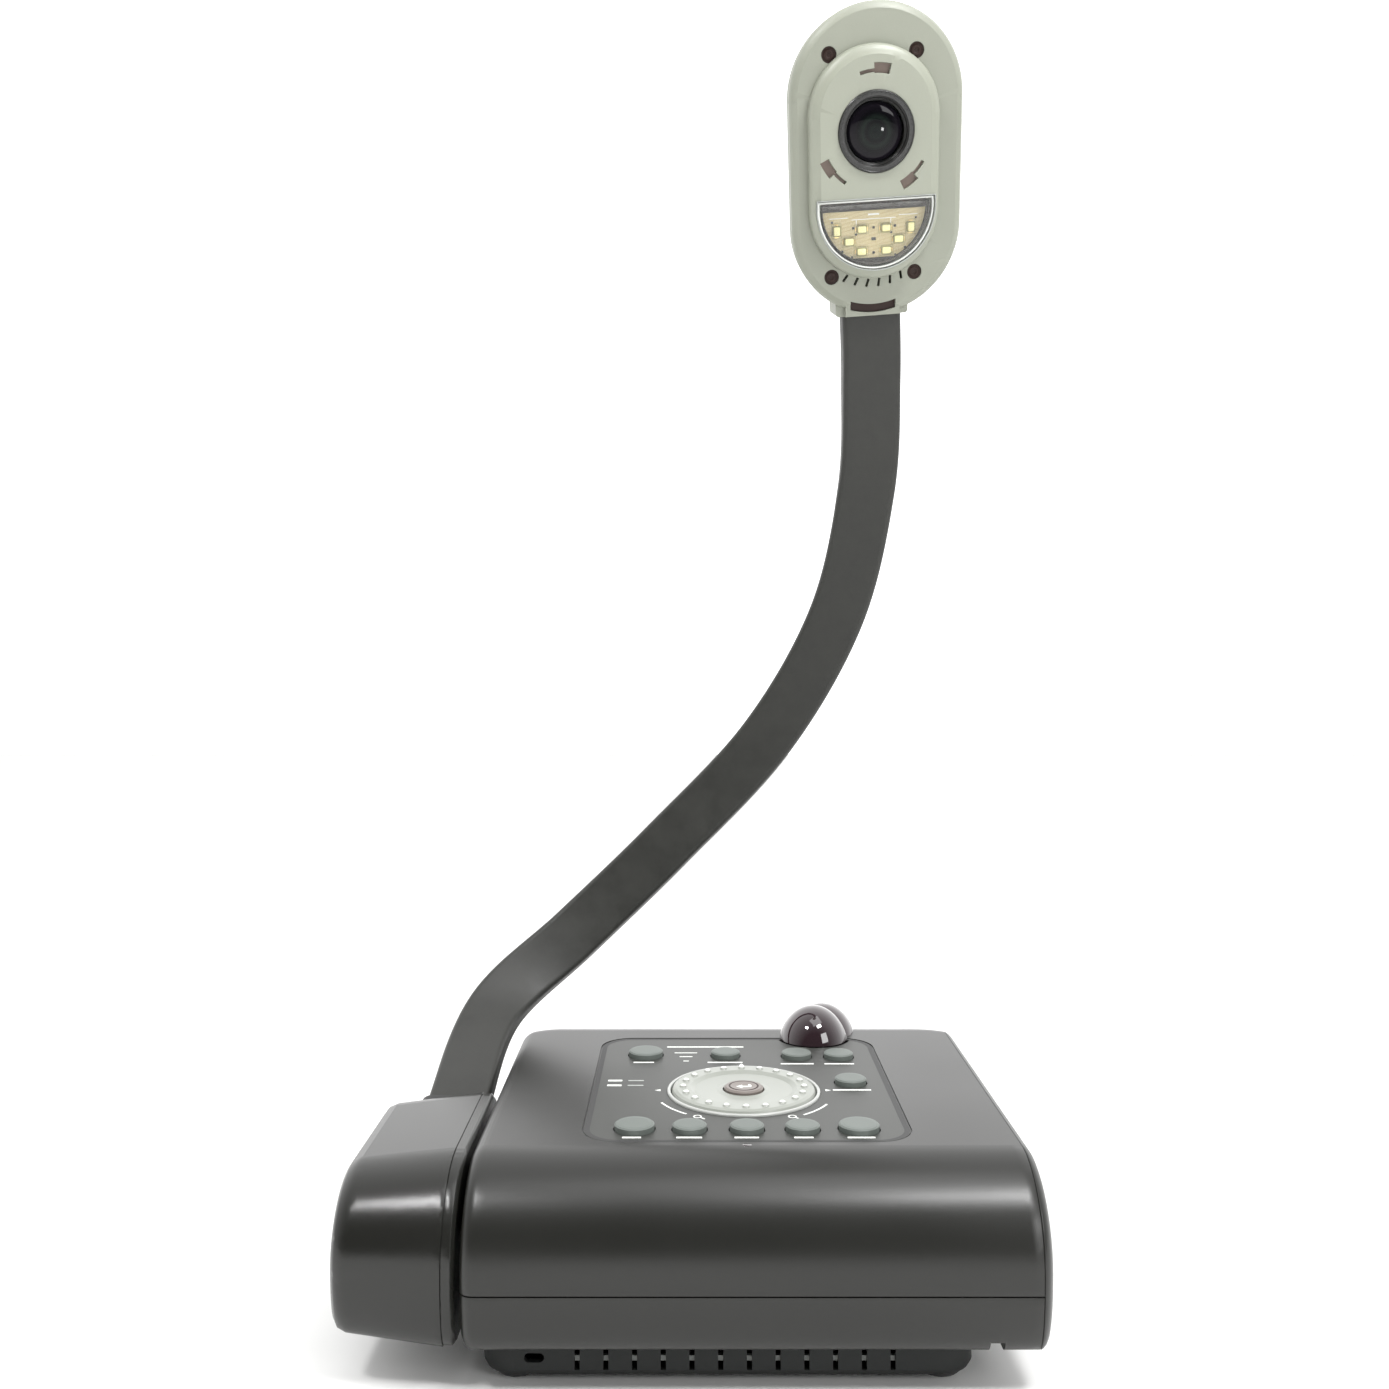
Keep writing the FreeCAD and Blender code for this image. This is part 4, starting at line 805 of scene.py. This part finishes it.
def dial_trim():
    """Return arrow and ring of the enter button, and white tips on the wheel's grips that paint the highlight
    on each bump.
    """
    arrow = Parts()
    arrow.slab([(17.9, -7.6), (20.4, -9.6), (20.4, -8.3), (24.2, -8.3), (24.2, -4.9), (22.9, -4.9),
                (22.9, -6.9), (20.4, -6.9), (20.4, -5.6)], 78.62, 78.84)
    arrow.done("enter_arrow", WHITE_INK, "enter", "wheel_white", smooth=False)

    # white ink on the top of each grip is a painted highlight on the lit bump
    grip_highlights = Parts()
    for x, y in circle(DIAL_X, DIAL_Y, GRIP_R, GRIP_COUNT):
        grip_highlights.turned([(1.25, 79.02), (1.1, 79.30), (0.8, 79.48), (0.4, 79.56), (0.15, 79.58)], x, y, 20)
    grip_highlights.done("wheel_grip_painted_highlights", WHITE_INK, "wheel", "wheel_white")

    ring = Parts()
    ring.turned([(5.3, 78.80), (6.1, 78.80), (6.1, 79.0), (5.7, 79.06), (5.3, 78.98)], DIAL_X, DIAL_Y, 64)
    ring.done("enter_trim_ring", PLUG, "enter", "enter_brown")


def vent_rib():
    """Bar behind the plinth's slots that shows as a light spot in each."""
    x0, x1, y0, y1, z0, z1 = VENT_BAR
    rib = Parts()
    rib.rings([[(x, y, z) for y, z in ((y0, z0), (y0, z1), (y1, z1), (y1, z0))] for x in (x0, x1)])
    rib.done("vent_inner_rib", GREY_INK, "base", "plinth_grey", smooth=False)


# ---------------------------------------------------------------- rear connectors
PORT_Z, BACK = 28.0, 99.4
VGA_X, USB_X = (62.0, 20.0), -38.0
# labels over the ports: (first x, last x)
PORT_LABELS = ((53.0, 71.0), (11.0, 29.0), (-27.0, -21.0), (-16.0, -10.0), (-43.0, -33.0), (86.0, 94.0))


def turned_back(x, y, z):
    """Point with its y and z swapped, so that a slab or a turned part faces the rear."""
    return Vector((x, z, y)) * MM


def video_and_usb():
    """Blue inserts with their pin holes, and the USB port's contacts."""
    inserts, pins, contacts = Parts(), Parts(), Parts()
    for vx in VGA_X:
        outline = ((-7.0, -3.3), (7.0, -3.3), (7.7, 3.3), (-7.7, 3.3))
        inserts.rings([[(vx + x, y, PORT_Z + z) for x, z in outline] for y in (BACK + 0.9, BACK + 3.6)])
        for z, stagger in ((2.1, 0.0), (0.0, 0.6), (-2.1, 0.0)):
            for column in range(-2, 3):
                hole = circle(vx + column * 2.5 + stagger, PORT_Z + z, 0.42, 12)
                pins.rings([[(x, y, hz) for x, hz in hole] for y in (BACK + 3.5, BACK + 3.72)])
    for k in range(4):
        x = USB_X + (k - 1.5) * 2.3
        strip = rectangle(x - 0.5, x + 0.5, PORT_Z + 0.1, PORT_Z + 0.42)
        contacts.rings([[(sx, y, sz) for sx, sz in strip] for y in (BACK - 9.0, BACK - 1.6)])
    soften(inserts.done("video_inserts", BLUE, "base", "black_plastic", smooth=False), 0.2 * MM, 3, 32)
    pins.done("video_pin_holes", BLACK, "base", "black_plastic", smooth=False)
    contacts.done("usb_contacts", GOLD, "base", "connector_metal", smooth=False)


def jack_trims():
    for x, paint, tag in ((-24.0, ROSE, "a"), (-13.0, MINT, "b")):
        trim = Parts(turned_back)
        trim.turned([(1.95, BACK + 0.38), (3.2, BACK + 0.38), (3.2, BACK + 0.66), (2.9, BACK + 0.78),
                     (2.2, BACK + 0.78), (1.95, BACK + 0.62)], x, PORT_Z, 48)
        trim.done("jack_trim_" + tag, paint, "base", "black_plastic")


def port_labels():
    marks = Parts(turned_back)
    for x0, x1 in PORT_LABELS:
        marks.slab(rectangle(x0, x1, 35.0, 35.3), BACK - 0.02, BACK + 0.03)
    marks.done("rear_port_marks", WHITE_INK, "base", "black_plastic", smooth=False)


# ---------------------------------------------------------------- stage, light and camera
for build in (arm_sleeves, lens, lamp_window_trim, lamps, lamp_board_parts, head_trim, panel_print,
              panel_edges, dial_trim, vent_rib, video_and_usb, jack_trims, port_labels):
    build()

FLOOR_X, FLOOR_Y = 4, 3
floor = piece("floor", [(-FLOOR_X, -FLOOR_Y, 0), (FLOOR_X, -FLOOR_Y, 0), (FLOOR_X, FLOOR_Y, 0),
                        (-FLOOR_X, FLOOR_Y, 0)], [(0, 1, 2, 3)], floor_paper("floor_paper"), None, None,
              smooth=False)

bpy.context.scene.view_settings.view_transform = "Standard"


def studio_world():
    """White surround that darkens towards the front, behind the camera."""
    world = bpy.data.worlds.new("studio")
    bpy.context.scene.world = world
    world.use_nodes = True
    tree = world.node_tree
    background = tree.nodes["Background"]
    coord = tree.nodes.new("ShaderNodeTexCoord")
    split = tree.nodes.new("ShaderNodeSeparateXYZ")
    front = tree.nodes.new("ShaderNodeMapRange")
    for socket, value in (("From Min", -0.75), ("From Max", 0.5), ("To Min", 0.12), ("To Max", 1.75)):
        front.inputs[socket].default_value = value
    tree.links.new(coord.outputs["Generated"], split.inputs["Vector"])
    tree.links.new(split.outputs["Y"], front.inputs["Value"])
    tree.links.new(front.outputs["Result"], background.inputs["Strength"])
    background.inputs["Color"].default_value = (1.0, 1.0, 1.0, 1.0)


def area_light(name, where, aim, size, size_y, power):
    """Softbox at one point that faces another, its sizes in metres and its power in watts."""
    data = bpy.data.lights.new(name, "AREA")
    data.shape = "RECTANGLE"
    data.size, data.size_y, data.energy = size, size_y, power
    lamp = bpy.data.objects.new(name, data)
    bpy.context.scene.collection.objects.link(lamp)
    lamp.location = where
    lamp.rotation_euler = (Vector(aim) - Vector(where)).to_track_quat("-Z", "Y").to_euler()


studio_world()
area_light("right_softbox", (0.47, -0.58, 1.26), (0.09, -0.09, 0.06), 0.36, 0.20, 10.0)
area_light("left_softbox", (-0.53, -0.62, 1.22), (-0.10, -0.09, 0.06), 0.24, 0.13, 7.0)
area_light("overhead_softbox", (0.25, -0.35, 1.8), (0.0, 0.0, 0.2), 1.0, 0.8, 5.5)
area_light("right_fill", (1.3, -1.5, 1.1), (0.0, 0.0, 0.35), 0.8, 0.8, 12.0)
area_light("lens_glint", (0.505, -0.755, 0.186), (0.075, -0.003, 0.468), 0.05, 0.05, 0.35)

CAMERA_AT = (0.0, -0.547, 0.252)
CAMERA_LENS_MM, SENSOR_MM = 34.419, 36.0
# shares of the picture's width by which the view is shifted
SIDE_SHIFT, RISE_SHIFT = 0.0018, -0.02484
camera_data = bpy.data.cameras.new("camera")
camera_data.sensor_width = SENSOR_MM
camera_data.lens = CAMERA_LENS_MM
camera_data.clip_start = 0.01
camera_data.shift_x = SIDE_SHIFT
camera_data.shift_y = RISE_SHIFT
camera = bpy.data.objects.new("camera", camera_data)
bpy.context.scene.collection.objects.link(camera)
camera.location = CAMERA_AT
camera.rotation_euler = (radians(90), 0.0, 0.0)
bpy.context.scene.camera = camera
